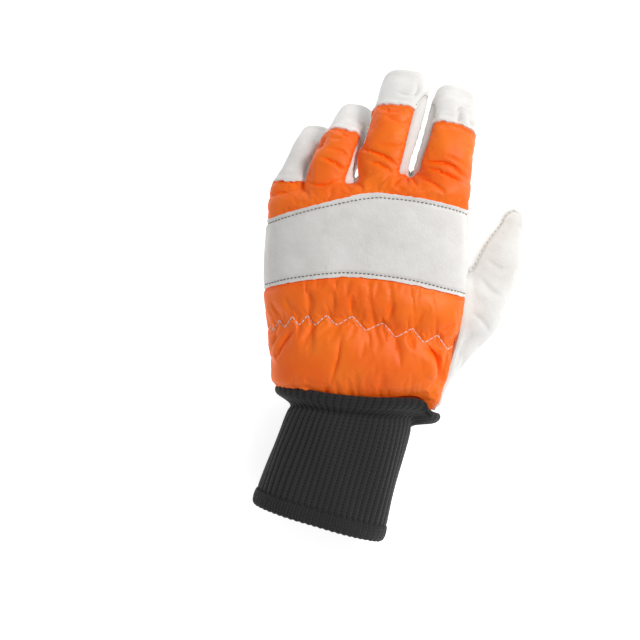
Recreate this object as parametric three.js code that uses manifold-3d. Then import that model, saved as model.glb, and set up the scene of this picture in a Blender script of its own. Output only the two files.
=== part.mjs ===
// A padded work glove for the left hand, lying palm down with its fingers curled to the floor.
// The leather hand is hollow: a palm, a thumb with its gusset, side walls between the fingers and
// four fingertip caps. A padded fabric back in two panels, a leather band over the knuckles, a
// leather patch across the palm and a ribbed knit cuff with a rolled top complete it.
// Millimetres, +Z up, fingers towards +Y, thumb towards +X.

import * as THREE from "three";
import { mergeVertices } from "three/addons/utils/BufferGeometryUtils.js";
import Module from "manifold-3d";

const wasm = await Module();
wasm.setup();

// Driving sizes of the hand
const palmWidth = 119;
const palmThickness = 54;
const bodyLength = 117;
const knuckleRound = 11;
const fingerReach = 67;
const fingerWidth = 30;
const fingerThickness = 27;
const thumbReach = 112;
const thumbWidth = 34;
const thumbThickness = 31;
const cuffLength = 76;
const cuffWidth = 80;
const cuffThickness = 45;

// Driving sizes of the materials
const leather = 1.8;
const padding = 4;
const bandThickness = 1.5;
const patchThickness = 1.5;
const knit = 2.8;
const ribCount = 52;
const ribDepth = 1.1;
const gap = 0.3;

// Seams and overlays
const bandWidth = 48;
const bandTop = 119;
const patchWidth = 40;
const patchTop = 118;
const neckDepth = 6;
const neckGap = 0.7;
const rollHeight = 11;
const hemHeight = 9.5;
const gatherHeight = 46;
const gatherSlope = 0.25;
const gatherDepth = 1.4;
const gatherWidth = 5;

// Fingers, from the little finger side. Places of the roots are shares of palmWidth, bodyLength
// and palmThickness, and reach, width and thickness are shares of fingerReach, fingerWidth and
// fingerThickness. Lean and roll are degrees, droop is a share of the reach, taper the tip's share
// of the width, strip the fabric's share of the width, and cap is the share of the finger at which
// its leather cap begins.
const fingers = [
  { name: "little", rootX: -0.33, rootY: 1.033, rootZ: 0.685, reach: 0.65, width: 0.733,
    thickness: 0.78, lean: 22.6, roll: -15, droop: 0.64, taper: 0.95, strip: 0.8, cap: 0.33 },
  { name: "ring", rootX: -0.14, rootY: 1.08, rootZ: 0.785, reach: 0.742, width: 0.917,
    thickness: 0.93, lean: 21.0, roll: -6, droop: 0.63, taper: 0.86, strip: 0.72, cap: 0.7 },
  { name: "middle", rootX: 0.12, rootY: 1.115, rootZ: 0.805, reach: 1.0, width: 1.0,
    thickness: 1.0, lean: 15.7, roll: -11, droop: 0.47, taper: 1.02, strip: 0.77, cap: 0.71 },
  { name: "index", rootX: 0.405, rootY: 1.135, rootZ: 0.785, reach: 0.765, width: 1.067,
    thickness: 1.037, lean: 14.3, roll: 9, droop: 0.57, taper: 0.91, strip: 0.86, cap: 0.58 },
];

// One finger's centre line and section, for all fingers. out and down are shares of its reach and
// of its droop, width and height are shares of its width and thickness, and tapered is how much of
// its taper it has.
const fingerRows = [
  { out: -0.35, down: 0.06, width: 0.86, height: 0.86, tapered: 0.0 },
  { out: 0.0, down: 0.0, width: 1.03, height: 0.98, tapered: 0.0 },
  { out: 0.3, down: 0.08, width: 1.0, height: 1.0, tapered: 0.3 },
  { out: 0.61, down: 0.43, width: 1.0, height: 0.98, tapered: 0.7 },
  { out: 0.85, down: 0.98, width: 0.96, height: 0.86, tapered: 1.0 },
];
const fingerTipShare = 0.43;

// The body's centre line and sections from the wrist seam. x, width and the like are shares of
// palmWidth, y of bodyLength, z and height of palmThickness. roll and turn are degrees, of a
// section about the centre line and about the upright.
const bodyRows = [
  { x: 0.0, y: 0.0, z: 0.5, width: 0.84, height: 0.84, roll: -1, turn: -2 },
  { x: 0.023, y: 0.246, z: 0.49, width: 0.925, height: 1.05, roll: -2, turn: -1 },
  { x: 0.045, y: 0.501, z: 0.59, width: 1.0, height: 1.0, roll: -3, turn: 0 },
  { x: 0.05, y: 0.789, z: 0.7, width: 1.0, height: 0.9, roll: -3, turn: 2 },
  { x: 0.062, y: 1.0, z: 0.77, width: 0.965, height: 0.78, roll: -3, turn: 9 },
];

// The thumb. Its root is a share of palmWidth, bodyLength and palmThickness, out and side are
// shares of thumbReach, z of palmThickness, and the sections shares of its width and thickness.
const thumbRoot = { x: 0.38, y: 0.125 };
const thumbLean = 29;
const thumbRows = [
  { out: -0.13, side: 0.0, z: 0.46, width: 0.5, height: 0.8 },
  { out: 0.08, side: -0.027, z: 0.42, width: 0.96, height: 1.16 },
  { out: 0.25, side: -0.022, z: 0.4, width: 1.18, height: 1.2 },
  { out: 0.4, side: 0.009, z: 0.39, width: 1.2, height: 1.1 },
  { out: 0.56, side: 0.028, z: 0.36, width: 0.95, height: 1.0 },
  { out: 0.74, side: 0.014, z: 0.32, width: 0.8, height: 0.84 },
  { out: 0.893, side: -0.005, z: 0.26, width: 0.46, height: 0.55 },
];
const thumbTipShare = 0.36;
const gussetShare = 0.42;

// The cuff's centre line below the wrist seam, as shares of cuffLength, and z of cuffThickness.
const cuffRows = [
  { x: 0.0, y: 0.0, z: 0.6 },
  { x: -0.109, y: -0.325, z: 0.56 },
  { x: -0.214, y: -0.65, z: 0.51 },
  { x: -0.31, y: -0.975, z: 0.48 },
];
// The cuff tube below its roll. along is a share of its length, and the others of its sizes.
const cuffTube = [
  { along: 0.0, width: 0.93, height: 0.97 },
  { along: 1.0, width: 1.04, height: 1.0 },
];
// The roll at the cuff's top. along is a share of its height, out is how far it swells from the
// cuff's tube at 0 to the wrist seam's section at 1.
const rollRows = [
  { along: 0.03, out: 0.8 },
  { along: 0.3, out: 0.96 },
  { along: 0.7, out: 0.85 },
  { along: 1.0, out: 0.12 },
];

// The hem at the cuff's lower edge. along is a share of its height, and swell, over the tube's own
// size, of the knit.
const hemRows = [
  { along: 0.12, swell: 0.43 },
  { along: 1.0, swell: 0.14 },
];
const rollGap = 3;

// Folds and dents in the padded back. Ends are shares of palmWidth and bodyLength in plan, width
// is a share of palmWidth and depth of padding, and a depth below 0 is a ridge.
const folds = [
  { fromX: -0.31, fromY: 0.34, toX: -0.38, toY: 0.07, width: 0.034, depth: 0.4 },
  { fromX: -0.19, fromY: 0.36, toX: -0.3, toY: 0.13, width: 0.038, depth: 0.38 },
  { fromX: -0.08, fromY: 0.34, toX: -0.12, toY: 0.05, width: 0.042, depth: 0.3 },
  { fromX: 0.03, fromY: 0.3, toX: -0.02, toY: 0.11, width: 0.042, depth: 0.33 },
  { fromX: 0.1, fromY: 0.31, toX: 0.08, toY: 0.14, width: 0.042, depth: -0.3 },
  { fromX: 0.24, fromY: 0.27, toX: 0.26, toY: 0.14, width: 0.034, depth: 0.42 },
  { fromX: 0.33, fromY: 0.24, toX: 0.37, toY: 0.03, width: 0.038, depth: 0.65 },
  { fromX: -0.1, fromY: 0.55, toX: -0.09, toY: 0.42, width: 0.042, depth: 0.3 },
  { fromX: 0.15, fromY: 0.53, toX: 0.17, toY: 0.4, width: 0.042, depth: 0.33 },
];

// Where the padded back meets the leather, as shares of the body's half thickness, and how far it
// reaches to the right, of its half width.
const seamLeftShare = 0.02;
const seamRightShare = 0.25;
const fabricRightShare = 0.985;

// Where the dividing regions begin and end, as shares along their limbs: the padded back of the
// body, the strips on the fingers, the gusset on the thumb and the walls between the fingers.
const backShares = { from: -0.1, to: 1.2 };
const stripShares = { from: -0.15, to: 1.3 };
const gussetShares = { from: 0.5, to: 1.2 };
const wallShares = { from: 0.22, to: 0.96 };
const stripShoulderShare = 0.6;
const gussetEdgeShare = 0.15;
const wallNearShare = 0.25;

// The band's edges in plan, with x as shares of palmWidth and the edges' heights over bandTop as
// shares of bandWidth.
const bandEdges = [
  { x: -0.6, top: -0.34, bottom: -1.16 },
  { x: -0.44, top: -0.27, bottom: -1.12 },
  { x: -0.29, top: -0.17, bottom: -1.06 },
  { x: -0.14, top: -0.08, bottom: -1.0 },
  { x: 0.05, top: 0.0, bottom: -1.0 },
  { x: 0.2, top: -0.01, bottom: -1.06 },
  { x: 0.36, top: -0.08, bottom: -1.13 },
  { x: 0.54, top: -0.19, bottom: -1.23 },
  { x: 0.66, top: -0.26, bottom: -1.29 },
];
// The seam between the palm and the thumb's leather, in shares of palmWidth and bodyLength.
const thumbSeam = [
  { x: 0.1, y: -0.2 },
  { x: 0.11, y: 0.0 },
  { x: 0.15, y: 0.16 },
  { x: 0.24, y: 0.35 },
  { x: 0.42, y: 0.52 },
  { x: 0.555, y: 0.625 },
  { x: 0.58, y: 0.76 },
  { x: 0.64, y: 1.1 },
];
// The palm patch's corners, with x as shares of palmWidth and down, from patchTop, of patchWidth.
const patchCorners = [
  { x: -0.56, down: 1.0 },
  { x: 0.19, down: 0.94 },
  { x: 0.19, down: 0.0 },
  { x: -0.56, down: 0.06 },
];
const patchWrap = 6;

// How finely the surfaces are faceted
const bodySides = 26;
const fingerSides = 12;
const innerSides = 8;
const bodySteps = 11;
const fingerSteps = 6;
const thumbSteps = 7;
const tipSteps = 3;
const innerSteps = 5;
const tipEndShare = 1.97;

const radians = THREE.MathUtils.degToRad;

// Shape helpers

// A table's columns at share t of its rows, smoothly through each row.
function between(rows, t) {
  const last = rows.length - 1;
  const place = THREE.MathUtils.clamp(t, 0, 1) * last;
  const i = Math.min(Math.floor(place), last - 1);
  const f = place - i;
  const row = {};
  for (const key of Object.keys(rows[i])) {
    const [b, c] = [rows[i][key], rows[i + 1][key]];
    const a = i > 0 ? rows[i - 1][key] : 2 * b - c;
    const d = i + 1 < last ? rows[i + 2][key] : 2 * c - b;
    row[key] =
      b + 0.5 * f * (c - a + f * (2 * a - 5 * b + 4 * c - d + f * (3 * (b - c) + d - a)));
  }
  return row;
}

// The frame of a limb at share t, which goes straight on beyond either end.
function frameAt(limb, t) {
  const at = (share) => {
    const row = between(limb.rows, share);
    return new THREE.Vector3(row.x, row.y, row.z);
  };
  const inside = THREE.MathUtils.clamp(t, 0, 1);
  const step = 0.01;
  const tangent = at(inside + step).sub(at(inside - step)).normalize();
  const row = between(limb.rows, inside);
  const up = new THREE.Vector3(0, 0, 1);
  up.addScaledVector(tangent, -up.dot(tangent)).normalize();
  up.applyAxisAngle(tangent, radians(row.roll ?? 0));
  tangent.applyAxisAngle(up, radians(row.turn ?? 0));
  const centre = at(inside).addScaledVector(tangent, (t - inside) * limb.length);
  const across = tangent.clone().cross(up);
  return { centre, tangent, across, up, width: row.width / 2, height: row.height / 2 };
}

// The section of a limb at share t, inside its walls. Shares above 1 round off the tip.
function sectionAt(limb, t, walls) {
  const section = frameAt(limb, Math.min(t, 1));
  const turn = (Math.PI / 2) * Math.max(t - 1, 0);
  const shrink = Math.max(Math.cos(turn), 0) ** (2 / limb.power);
  const tip = (limb.tip - walls.side) * Math.sin(turn) ** (2 / limb.power);
  section.centre.addScaledVector(section.tangent, tip);
  section.centre.addScaledVector(section.up, (walls.bottom - walls.top) / 2);
  section.width = (section.width - walls.side) * shrink;
  section.height = (section.height - (walls.top + walls.bottom) / 2) * shrink;
  return section;
}

const evenly = (wall) => ({ side: wall, top: wall, bottom: wall });

function pointOn(section, a, b) {
  return section.centre
    .clone()
    .addScaledVector(section.across, a)
    .addScaledVector(section.up, b);
}

// The points round a section, a superellipse of the limb's power.
function ringOf(section, power, sides) {
  return Array.from({ length: sides }, (_, i) => {
    const turn = (2 * Math.PI * (i + 0.5)) / sides;
    const [c, s] = [Math.cos(turn), Math.sin(turn)];
    const a = Math.sign(c) * Math.abs(c) ** (2 / power) * section.width;
    const b = Math.sign(s) * Math.abs(s) ** (2 / power) * section.height;
    return pointOn(section, a, b);
  });
}

// A manifold-3d solid from a closed geometry, facing out.
function solidFrom(geometry) {
  const bare = new THREE.BufferGeometry();
  bare.setAttribute("position", geometry.getAttribute("position"));
  if (geometry.index) bare.setIndex(geometry.index);
  const merged = mergeVertices(bare, 1e-4);
  const make = (order) =>
    new wasm.Manifold(
      new wasm.Mesh({
        numProp: 3,
        vertProperties: new Float32Array(merged.attributes.position.array),
        triVerts: new Uint32Array(order),
      }),
    );
  const made = make(merged.index.array);
  return made.volume() > 0 ? made : make(Array.from(merged.index.array).reverse());
}

// A closed skin over a row of rings, with a fan over each end.
function skin(rings) {
  const sides = rings[0].length;
  const points = rings.flat();
  const faces = [];
  for (let r = 0; r + 1 < rings.length; r++)
    for (let i = 0; i < sides; i++) {
      const [a, b] = [r * sides + i, r * sides + ((i + 1) % sides)];
      faces.push(a, b, a + sides, b, b + sides, a + sides);
    }
  for (const [ring, first] of [[0, 1], [rings.length - 1, 0]]) {
    const middle = new THREE.Vector3();
    for (const p of rings[ring]) middle.addScaledVector(p, 1 / sides);
    const centre = points.push(middle) - 1;
    for (let i = 0; i < sides; i++) {
      const pair = [ring * sides + i, ring * sides + ((i + 1) % sides)];
      faces.push(centre, pair[first], pair[1 - first]);
    }
  }
  const geometry = new THREE.BufferGeometry().setFromPoints(points);
  geometry.setIndex(faces);
  return solidFrom(geometry);
}

// Shares from one to another, with a limb's tip rounded off in a few steps more.
function shares(from, to, steps, rounding) {
  const list = Array.from({ length: steps + 1 }, (_, i) => from + ((to - from) * i) / steps);
  for (let i = 1; i < rounding; i++) list.push(1 + i / rounding);
  if (rounding > 0) list.push(tipEndShare);
  return list;
}

const onFloor = (point, height) => point.setZ(Math.max(point.z, height));

// A limb as a solid, shrunk by its walls and kept above the floor.
function loft(limb, list, walls, sides, floor, reshape = (p) => p) {
  return skin(
    list.map((t) => {
      const section = sectionAt(limb, t, walls(t));
      return ringOf(section, limb.power, sides).map((p) => onFloor(reshape(p, section), floor));
    }),
  );
}

// A solid whose section is a polygon in each section's own frame.
function sweep(limb, list, polygon) {
  return skin(
    list.map((t) => {
      const section = frameAt(limb, t);
      return polygon(section, t).map(([a, b]) => pointOn(section, a, b));
    }),
  );
}

// A plan outline as a solid through the whole height.
function planPrism(points) {
  const shape = new THREE.Shape(points.map(([x, y]) => new THREE.Vector2(x, y)));
  const depth = 3 * palmThickness;
  const geometry = new THREE.ExtrudeGeometry(shape, { depth, bevelEnabled: false });
  geometry.translate(0, 0, -depth / 3);
  return solidFrom(geometry);
}

// The largest body of a solid, without the slivers that a cut leaves.
function largest(solid) {
  return solid.decompose().reduce((a, b) => (a.volume() > b.volume() ? a : b));
}

const together = (solids) => solids.reduce((a, b) => a.add(b));

// The limbs in millimetres
const body = {
  power: 2.5,
  tip: knuckleRound,
  length: bodyLength,
  rows: bodyRows.map((r) => ({
    x: r.x * palmWidth,
    y: r.y * bodyLength,
    z: r.z * palmThickness,
    width: r.width * palmWidth,
    height: r.height * palmThickness,
    roll: r.roll,
    turn: r.turn,
  })),
};

function fingerLimb(finger) {
  const lean = radians(finger.lean);
  const reach = finger.reach * fingerReach;
  const width = finger.width * fingerWidth;
  return {
    power: 2.8,
    tip: fingerTipShare * width,
    length: reach,
    rows: fingerRows.map((r) => ({
      x: finger.rootX * palmWidth + Math.max(r.out, 0) * reach * Math.sin(lean),
      y: finger.rootY * bodyLength + r.out * reach * Math.cos(lean),
      z: finger.rootZ * palmThickness - r.down * finger.droop * reach,
      width: r.width * width * THREE.MathUtils.lerp(1, finger.taper, r.tapered),
      height: r.height * finger.thickness * fingerThickness,
      roll: finger.roll,
    })),
  };
}

const thumb = {
  power: 2.2,
  tip: thumbTipShare * thumbWidth,
  length: thumbReach,
  rows: thumbRows.map((r) => {
    const lean = radians(thumbLean);
    const [out, side] = [r.out * thumbReach, r.side * thumbReach];
    return {
      x: thumbRoot.x * palmWidth + out * Math.sin(lean) + side * Math.cos(lean),
      y: thumbRoot.y * bodyLength + out * Math.cos(lean) - side * Math.sin(lean),
      z: r.z * palmThickness,
      width: r.width * thumbWidth,
      height: r.height * thumbThickness,
    };
  }),
};

const limbs = fingers.map(fingerLimb);

// Folds press the back of the body in, and the elastic's line gathers it.
function folded(point, section) {
  const out = point.clone().sub(section.centre).normalize();
  const facing = THREE.MathUtils.smoothstep(out.dot(section.up), 0.02, 0.3);
  let push = 0;
  for (const f of folds) {
    const from = new THREE.Vector2(f.fromX * palmWidth, f.fromY * bodyLength);
    const to = new THREE.Vector2(f.toX * palmWidth, f.toY * bodyLength);
    const line = to.clone().sub(from);
    const here = new THREE.Vector2(point.x, point.y).sub(from);
    const share = here.dot(line) / line.lengthSq();
    const away = here.addScaledVector(line, -THREE.MathUtils.clamp(share, 0, 1)).length();
    push += f.depth * padding * Math.exp(-((away / (f.width * palmWidth)) ** 2));
  }
  const line = gatherHeight - gatherSlope * Math.max(point.x, 0);
  push += gatherDepth * Math.exp(-(((point.y - line) / gatherWidth) ** 2));
  return point.addScaledVector(section.up, -push * facing);
}

// The whole hand, outside and inside
const bodyInside = () => ({ side: leather, top: padding, bottom: leather });

function cover(spare) {
  const walls = () => evenly(-spare);
  const list = (limb, steps) => shares(-spare / limb.length, 1, steps, tipSteps);
  return together([
    loft(body, list(body, bodySteps), walls, bodySides, 0, folded),
    ...limbs.map((l) => loft(l, list(l, fingerSteps), walls, fingerSides, 0)),
    loft(thumb, list(thumb, thumbSteps), walls, fingerSides, 0),
  ]);
}

function fingerInside(finger) {
  return (t) => ({ side: leather, top: t > finger.cap ? leather : padding, bottom: leather });
}

const inside = together([
  loft(body, shares(-0.1, 1, innerSteps, 2), bodyInside, 2 * innerSides, leather),
  ...limbs.map((l, i) =>
    loft(l, shares(0, 1, innerSteps, 2), fingerInside(fingers[i]), innerSides, leather),
  ),
  loft(thumb, shares(0, 1, innerSteps, 2), () => evenly(leather), innerSides, leather),
]);
const shell = cover(0).subtract(inside);

// Regions that divide the shell

// Above the seams at the sides of the body.
function bodyBack(spare) {
  return sweep(body, shares(backShares.from, 1, 7, 0).concat(backShares.to), (s) => {
    const [left, right] = [1.3 * s.width, fabricRightShare * s.width + spare];
    return [
      [-left, s.height * seamLeftShare - spare],
      [right, s.height * seamRightShare - spare],
      [right, palmThickness],
      [-left, palmThickness],
    ];
  });
}

// The strip along a finger's back, which widens round the tip.
function fingerBack(finger, limb, spare) {
  return sweep(limb, shares(stripShares.from, 1, 5, 0).concat(stripShares.to), (s, t) => {
    const half = (t > 0.9 ? 1.04 : finger.strip) * s.width + spare;
    const [shoulder, top] = [0.85 * s.height + spare, 1.1 * s.height + spare];
    return [
      [-half, -spare],
      [half, -spare],
      [half, shoulder],
      [stripShoulderShare * half, top],
      [-stripShoulderShare * half, top],
      [-half, shoulder],
    ];
  });
}

// Everything round a finger beyond its cap's edge.
function beyondCap(finger, limb, spare) {
  const start = finger.cap - spare / limb.length;
  return sweep(limb, shares(start, 1, 3, 0).concat(stripShares.to), (s) => {
    const [a, b] = [1.06 * s.width + spare, 1.2 * s.height + spare];
    return [[-a, -b], [a, -b], [a, b], [-a, b]];
  });
}

// The plan outline between two lines across the back, each at a share down from the band's top
// edge to its bottom edge and shifted by millimetres.
function acrossBack(lowShare, lowShift, highShare, highShift) {
  const line = (share, shift) =>
    bandEdges.map((p) => {
      const rise = THREE.MathUtils.lerp(p.top, p.bottom, share) * bandWidth;
      return [p.x * palmWidth, bandTop + rise + shift];
    });
  return [...line(lowShare, lowShift), ...line(highShare, highShift).reverse()];
}

const back = (spare) =>
  together([bodyBack(spare), ...limbs.map((l, i) => fingerBack(fingers[i], l, spare))]);
const backShell = shell.intersect(back(0));
const frontShell = shell.subtract(back(gap));

const caps = limbs.map((l, i) => largest(backShell.intersect(beyondCap(fingers[i], l, 0))));
const fabric = limbs.reduce(
  (rest, l, i) => rest.subtract(beyondCap(fingers[i], l, gap)),
  backShell,
);
const upperFabric = largest(
  fabric.intersect(planPrism(acrossBack(0.5, gap / 2, 0, 2 * bodyLength))),
);
const lowerFabric = largest(
  fabric.intersect(planPrism(acrossBack(1, -2 * bodyLength, 0.5, -gap / 2))),
);

// The leather between the thumb's seams and the web side of the thumb itself
function thumbOutline(spare) {
  const line = thumbSeam.map((p) => [p.x * palmWidth - spare, p.y * bodyLength + spare]);
  const far = 2 * palmWidth;
  return [...line, [far, line.at(-1)[1]], [far, line[0][1]]];
}

function thumbWeb(spare) {
  const start = gussetShares.from - spare / thumb.length;
  return sweep(thumb, shares(start, 1, 4, 0).concat(gussetShares.to), (s) => {
    const [a, b] = [gussetEdgeShare * s.width + spare, gussetShare * s.height + spare];
    return [[-thumbWidth, -b], [a, -b], [a, b], [-thumbWidth, b]];
  });
}

// The side wall between two neighbouring fingers, on the sides that face each other
function sideWall(pair, spare) {
  const facing = (limb, sign) => {
    const longer = spare / limb.length;
    const list = shares(wallShares.from - longer, wallShares.to + longer, 4, 0);
    return sweep(limb, list, (s, t) => {
      const [near, far] = [wallNearShare * s.width - spare, 1.08 * s.width + spare];
      const [low, high] = [(0.5 * t - 0.7) * s.height - spare, 1.2 * s.height + spare];
      const corners = [[near, low], [far, low], [far, high], [near, high]];
      return corners.map(([a, b]) => [sign * a, b]);
    });
  };
  return together([facing(pair[0], 1), facing(pair[1], -1)]);
}

const thumbSide = frontShell.intersect(planPrism(thumbOutline(0)));
const handSide = frontShell.subtract(planPrism(thumbOutline(gap)));
const thumbLeather = largest(thumbSide.subtract(thumbWeb(gap)));
const thumbGusset = largest(thumbSide.intersect(thumbWeb(0)));
const pairs = limbs.slice(1).map((right, i) => [limbs[i], right]);
const walls = pairs.map((pair) => largest(handSide.intersect(sideWall(pair, 0))));
const palmLeather = largest(
  pairs.reduce((rest, pair) => rest.subtract(sideWall(pair, gap)), handSide),
);

// Leather laid over the hand: the knuckle band on the back and the patch across the palm
function overlay(thickness, region) {
  return largest(cover(gap + thickness).subtract(cover(gap)).intersect(region));
}
const bandRegion = planPrism(acrossBack(1, 0, 0, 0)).intersect(bodyBack(-gap));
const band = overlay(bandThickness, bandRegion);
const patchRegion = planPrism(
  patchCorners.map((p) => [p.x * palmWidth, patchTop - p.down * patchWidth]),
);
const patch = overlay(patchThickness, patchRegion.subtract(bodyBack(patchWrap)));

// The cuff
const cuffLine = cuffRows.map((r) => ({
  x: r.x * cuffLength,
  y: r.y * cuffLength,
  z: r.z * cuffThickness,
  width: cuffWidth,
  height: cuffThickness,
}));
const cuff = { power: 2.5, tip: 0, length: cuffLength, rows: [...cuffLine].reverse() };
const wrist = sectionAt(body, 0, bodyInside());
const seam = sectionAt(body, 0, evenly(0));

// A section of the cuff at a distance below the wrist seam. The roll's sections are parallel to
// the seam, and those below turn from it to the cuff's own plane.
function cuffSection(distance, width, height) {
  const section = sectionAt(cuff, 1 - distance / cuffLength, evenly(0));
  const own = THREE.MathUtils.smoothstep(distance, rollHeight, 0.7 * cuffLength);
  section.across.lerpVectors(seam.across, section.across, own).normalize();
  section.up.lerpVectors(seam.up, section.up, own).normalize();
  return { ...section, width: width / 2, height: height / 2 };
}

function cuffRing(section, thinner, ribs) {
  const sides = 2 * ribCount;
  const thick = { ...section, width: section.width - thinner, height: section.height - thinner };
  const groove = { ...thick, width: thick.width - ribs, height: thick.height - ribs };
  const [outer, inner] = [thick, groove].map((s) => ringOf(s, cuff.power, sides));
  return outer.map((p, i) => onFloor(i % 2 ? inner[i] : p, Math.max(thinner, 0)));
}

// Sections of the cuff down from its neck, each with its rib depth.
function cuffSections() {
  const list = [];
  for (const distance of [-neckDepth, gap]) {
    const section = sectionAt(body, 0, bodyInside());
    section.centre.addScaledVector(section.across.clone().cross(section.up), distance);
    section.width -= neckGap;
    section.height -= neckGap;
    list.push({ section, ribs: 0 });
  }
  const top = cuffTube[0];
  for (const r of rollRows) {
    const width = THREE.MathUtils.lerp(top.width * cuffWidth, 2 * seam.width, r.out);
    const height = THREE.MathUtils.lerp(top.height * cuffThickness, 2 * seam.height, r.out);
    const distance = gap + r.along * (rollHeight - gap);
    list.push({ section: cuffSection(distance, width, height), ribs: ribDepth });
  }
  for (const r of cuffTube) {
    const tubeTop = rollHeight + rollGap;
    const distance = tubeTop + r.along * (cuffLength - tubeTop - hemHeight);
    const section = cuffSection(distance, r.width * cuffWidth, r.height * cuffThickness);
    list.push({ section, ribs: ribDepth });
  }
  const end = cuffTube.at(-1);
  for (const r of hemRows) {
    const distance = cuffLength - hemHeight * (1 - r.along);
    const width = end.width * cuffWidth + r.swell * knit;
    const height = end.height * cuffThickness + r.swell * knit;
    list.push({ section: cuffSection(distance, width, height), ribs: ribDepth });
  }
  return list;
}

function cuffSolid() {
  const sections = cuffSections();
  const outer = skin(sections.map(({ section, ribs }) => cuffRing(section, 0, ribs)));
  const neckWidth = wrist.width - neckGap - knit;
  const neckHeight = wrist.height - neckGap - knit;
  const hollow = sections
    .filter((_, i) => i < 2 || i > rollRows.length + 1)
    .map(({ section }, i) =>
      i < 2
        ? { ...section, width: neckWidth, height: neckHeight }
        : { ...section, width: section.width - knit, height: section.height - knit },
    );
  for (const [ring, way] of [[0, -1], [hollow.length - 1, 1]]) {
    const end = hollow[ring];
    end.centre = end.centre.clone();
    end.centre.addScaledVector(end.across.clone().cross(end.up), way * knit / 2);
  }
  const inner = skin(
    hollow.map((s) => ringOf(s, cuff.power, 2 * innerSides).map((p) => onFloor(p, knit / 2))),
  );
  return largest(outer.subtract(inner));
}

// Materials, and the assembly
const finish = (colour, roughness) =>
  new THREE.MeshStandardMaterial({ color: colour, roughness, metalness: 0 });
const whiteLeather = finish(0xe6e3de, 0.55);
const orangeFabric = finish(0xf2691c, 0.6);
const blackKnit = finish(0x1c1d1e, 0.9);

const glove = new THREE.Group();

function addPiece(name, solid, material) {
  const made = solid.getMesh();
  const geometry = new THREE.BufferGeometry();
  geometry.setAttribute("position", new THREE.BufferAttribute(made.vertProperties, made.numProp));
  geometry.setIndex(new THREE.BufferAttribute(made.triVerts, 1));
  const mesh = new THREE.Mesh(geometry, material);
  mesh.name = name;
  glove.add(mesh);
}

addPiece("palm_leather", palmLeather, whiteLeather);
addPiece("thumb_leather", thumbLeather, whiteLeather);
addPiece("thumb_gusset", thumbGusset, whiteLeather);
walls.forEach((w, i) => {
  addPiece(`side_wall_${fingers[i].name}_${fingers[i + 1].name}`, w, whiteLeather);
});
caps.forEach((c, i) => addPiece(`${fingers[i].name}_cap`, c, whiteLeather));
addPiece("back_fabric_upper", upperFabric, orangeFabric);
addPiece("back_fabric_lower", lowerFabric, orangeFabric);
addPiece("knuckle_band", band, whiteLeather);
addPiece("palm_patch", patch, whiteLeather);
addPiece("knit_cuff", cuffSolid(), blackKnit);

// The origin is the middle of the glove's plan, on the floor.
const box = new THREE.Box3().setFromObject(glove);
const middle = box.getCenter(new THREE.Vector3());
glove.position.set(-middle.x, -middle.y, -box.min.z);

export default glove;
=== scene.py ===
"""A padded work glove for the left hand, lying palm down on a pale floor.

The hand is one smooth skin over a body, four fingers and a thumb. It is cut along the glove's
seams into panels of leather and padded fabric, and each panel gets its own thickness, puff,
folds and stitching. Lengths in the tables are millimetres, and points are kept in millimetres
from the middle of the wrist seam until a mesh is made.
"""

import math

import bpy
import numpy as np
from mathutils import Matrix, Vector
from mathutils.bvhtree import BVHTree


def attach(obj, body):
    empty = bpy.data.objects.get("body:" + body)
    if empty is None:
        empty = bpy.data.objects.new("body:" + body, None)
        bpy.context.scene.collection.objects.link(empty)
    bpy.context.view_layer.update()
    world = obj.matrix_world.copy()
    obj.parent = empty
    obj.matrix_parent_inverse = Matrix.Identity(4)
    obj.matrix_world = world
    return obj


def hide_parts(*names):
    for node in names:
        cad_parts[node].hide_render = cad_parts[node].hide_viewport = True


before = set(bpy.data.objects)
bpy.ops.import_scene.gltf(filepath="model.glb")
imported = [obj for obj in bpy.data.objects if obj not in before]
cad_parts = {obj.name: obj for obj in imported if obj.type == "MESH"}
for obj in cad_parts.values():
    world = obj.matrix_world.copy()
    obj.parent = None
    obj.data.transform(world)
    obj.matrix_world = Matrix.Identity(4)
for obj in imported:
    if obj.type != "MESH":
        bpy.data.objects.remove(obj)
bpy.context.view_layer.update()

MM = 0.001
# The middle of the wrist seam in the frame.
WRIST = np.array([-19.155, -56.317, 0.0])
# The distance given to a point that is nowhere near a limb.
FAR = 30.0

# Driving sizes of the hand and the cuff
PALM_WIDTH, PALM_THICKNESS, BODY_LENGTH = 119.0, 54.0, 117.0
KNUCKLE_ROUND, ROOT_ROUND = 11.0, 14.0
FINGER_REACH, FINGER_WIDTH, FINGER_THICKNESS = 67.0, 30.0, 27.0
THUMB_REACH, THUMB_WIDTH, THUMB_THICKNESS = 112.0, 34.0, 31.0
CUFF_LENGTH, CUFF_WIDTH, CUFF_THICKNESS = 76.0, 80.0, 45.0
LEATHER, CAP_LEATHER, LAID_LEATHER, PADDING, KNIT = 1.8, 1.5, 1.4, 3.2, 2.8
# How square the sections are: 2 is an ellipse.
BODY_POWER, FINGER_POWER, THUMB_POWER = 2.5, 2.8, 2.2

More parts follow.
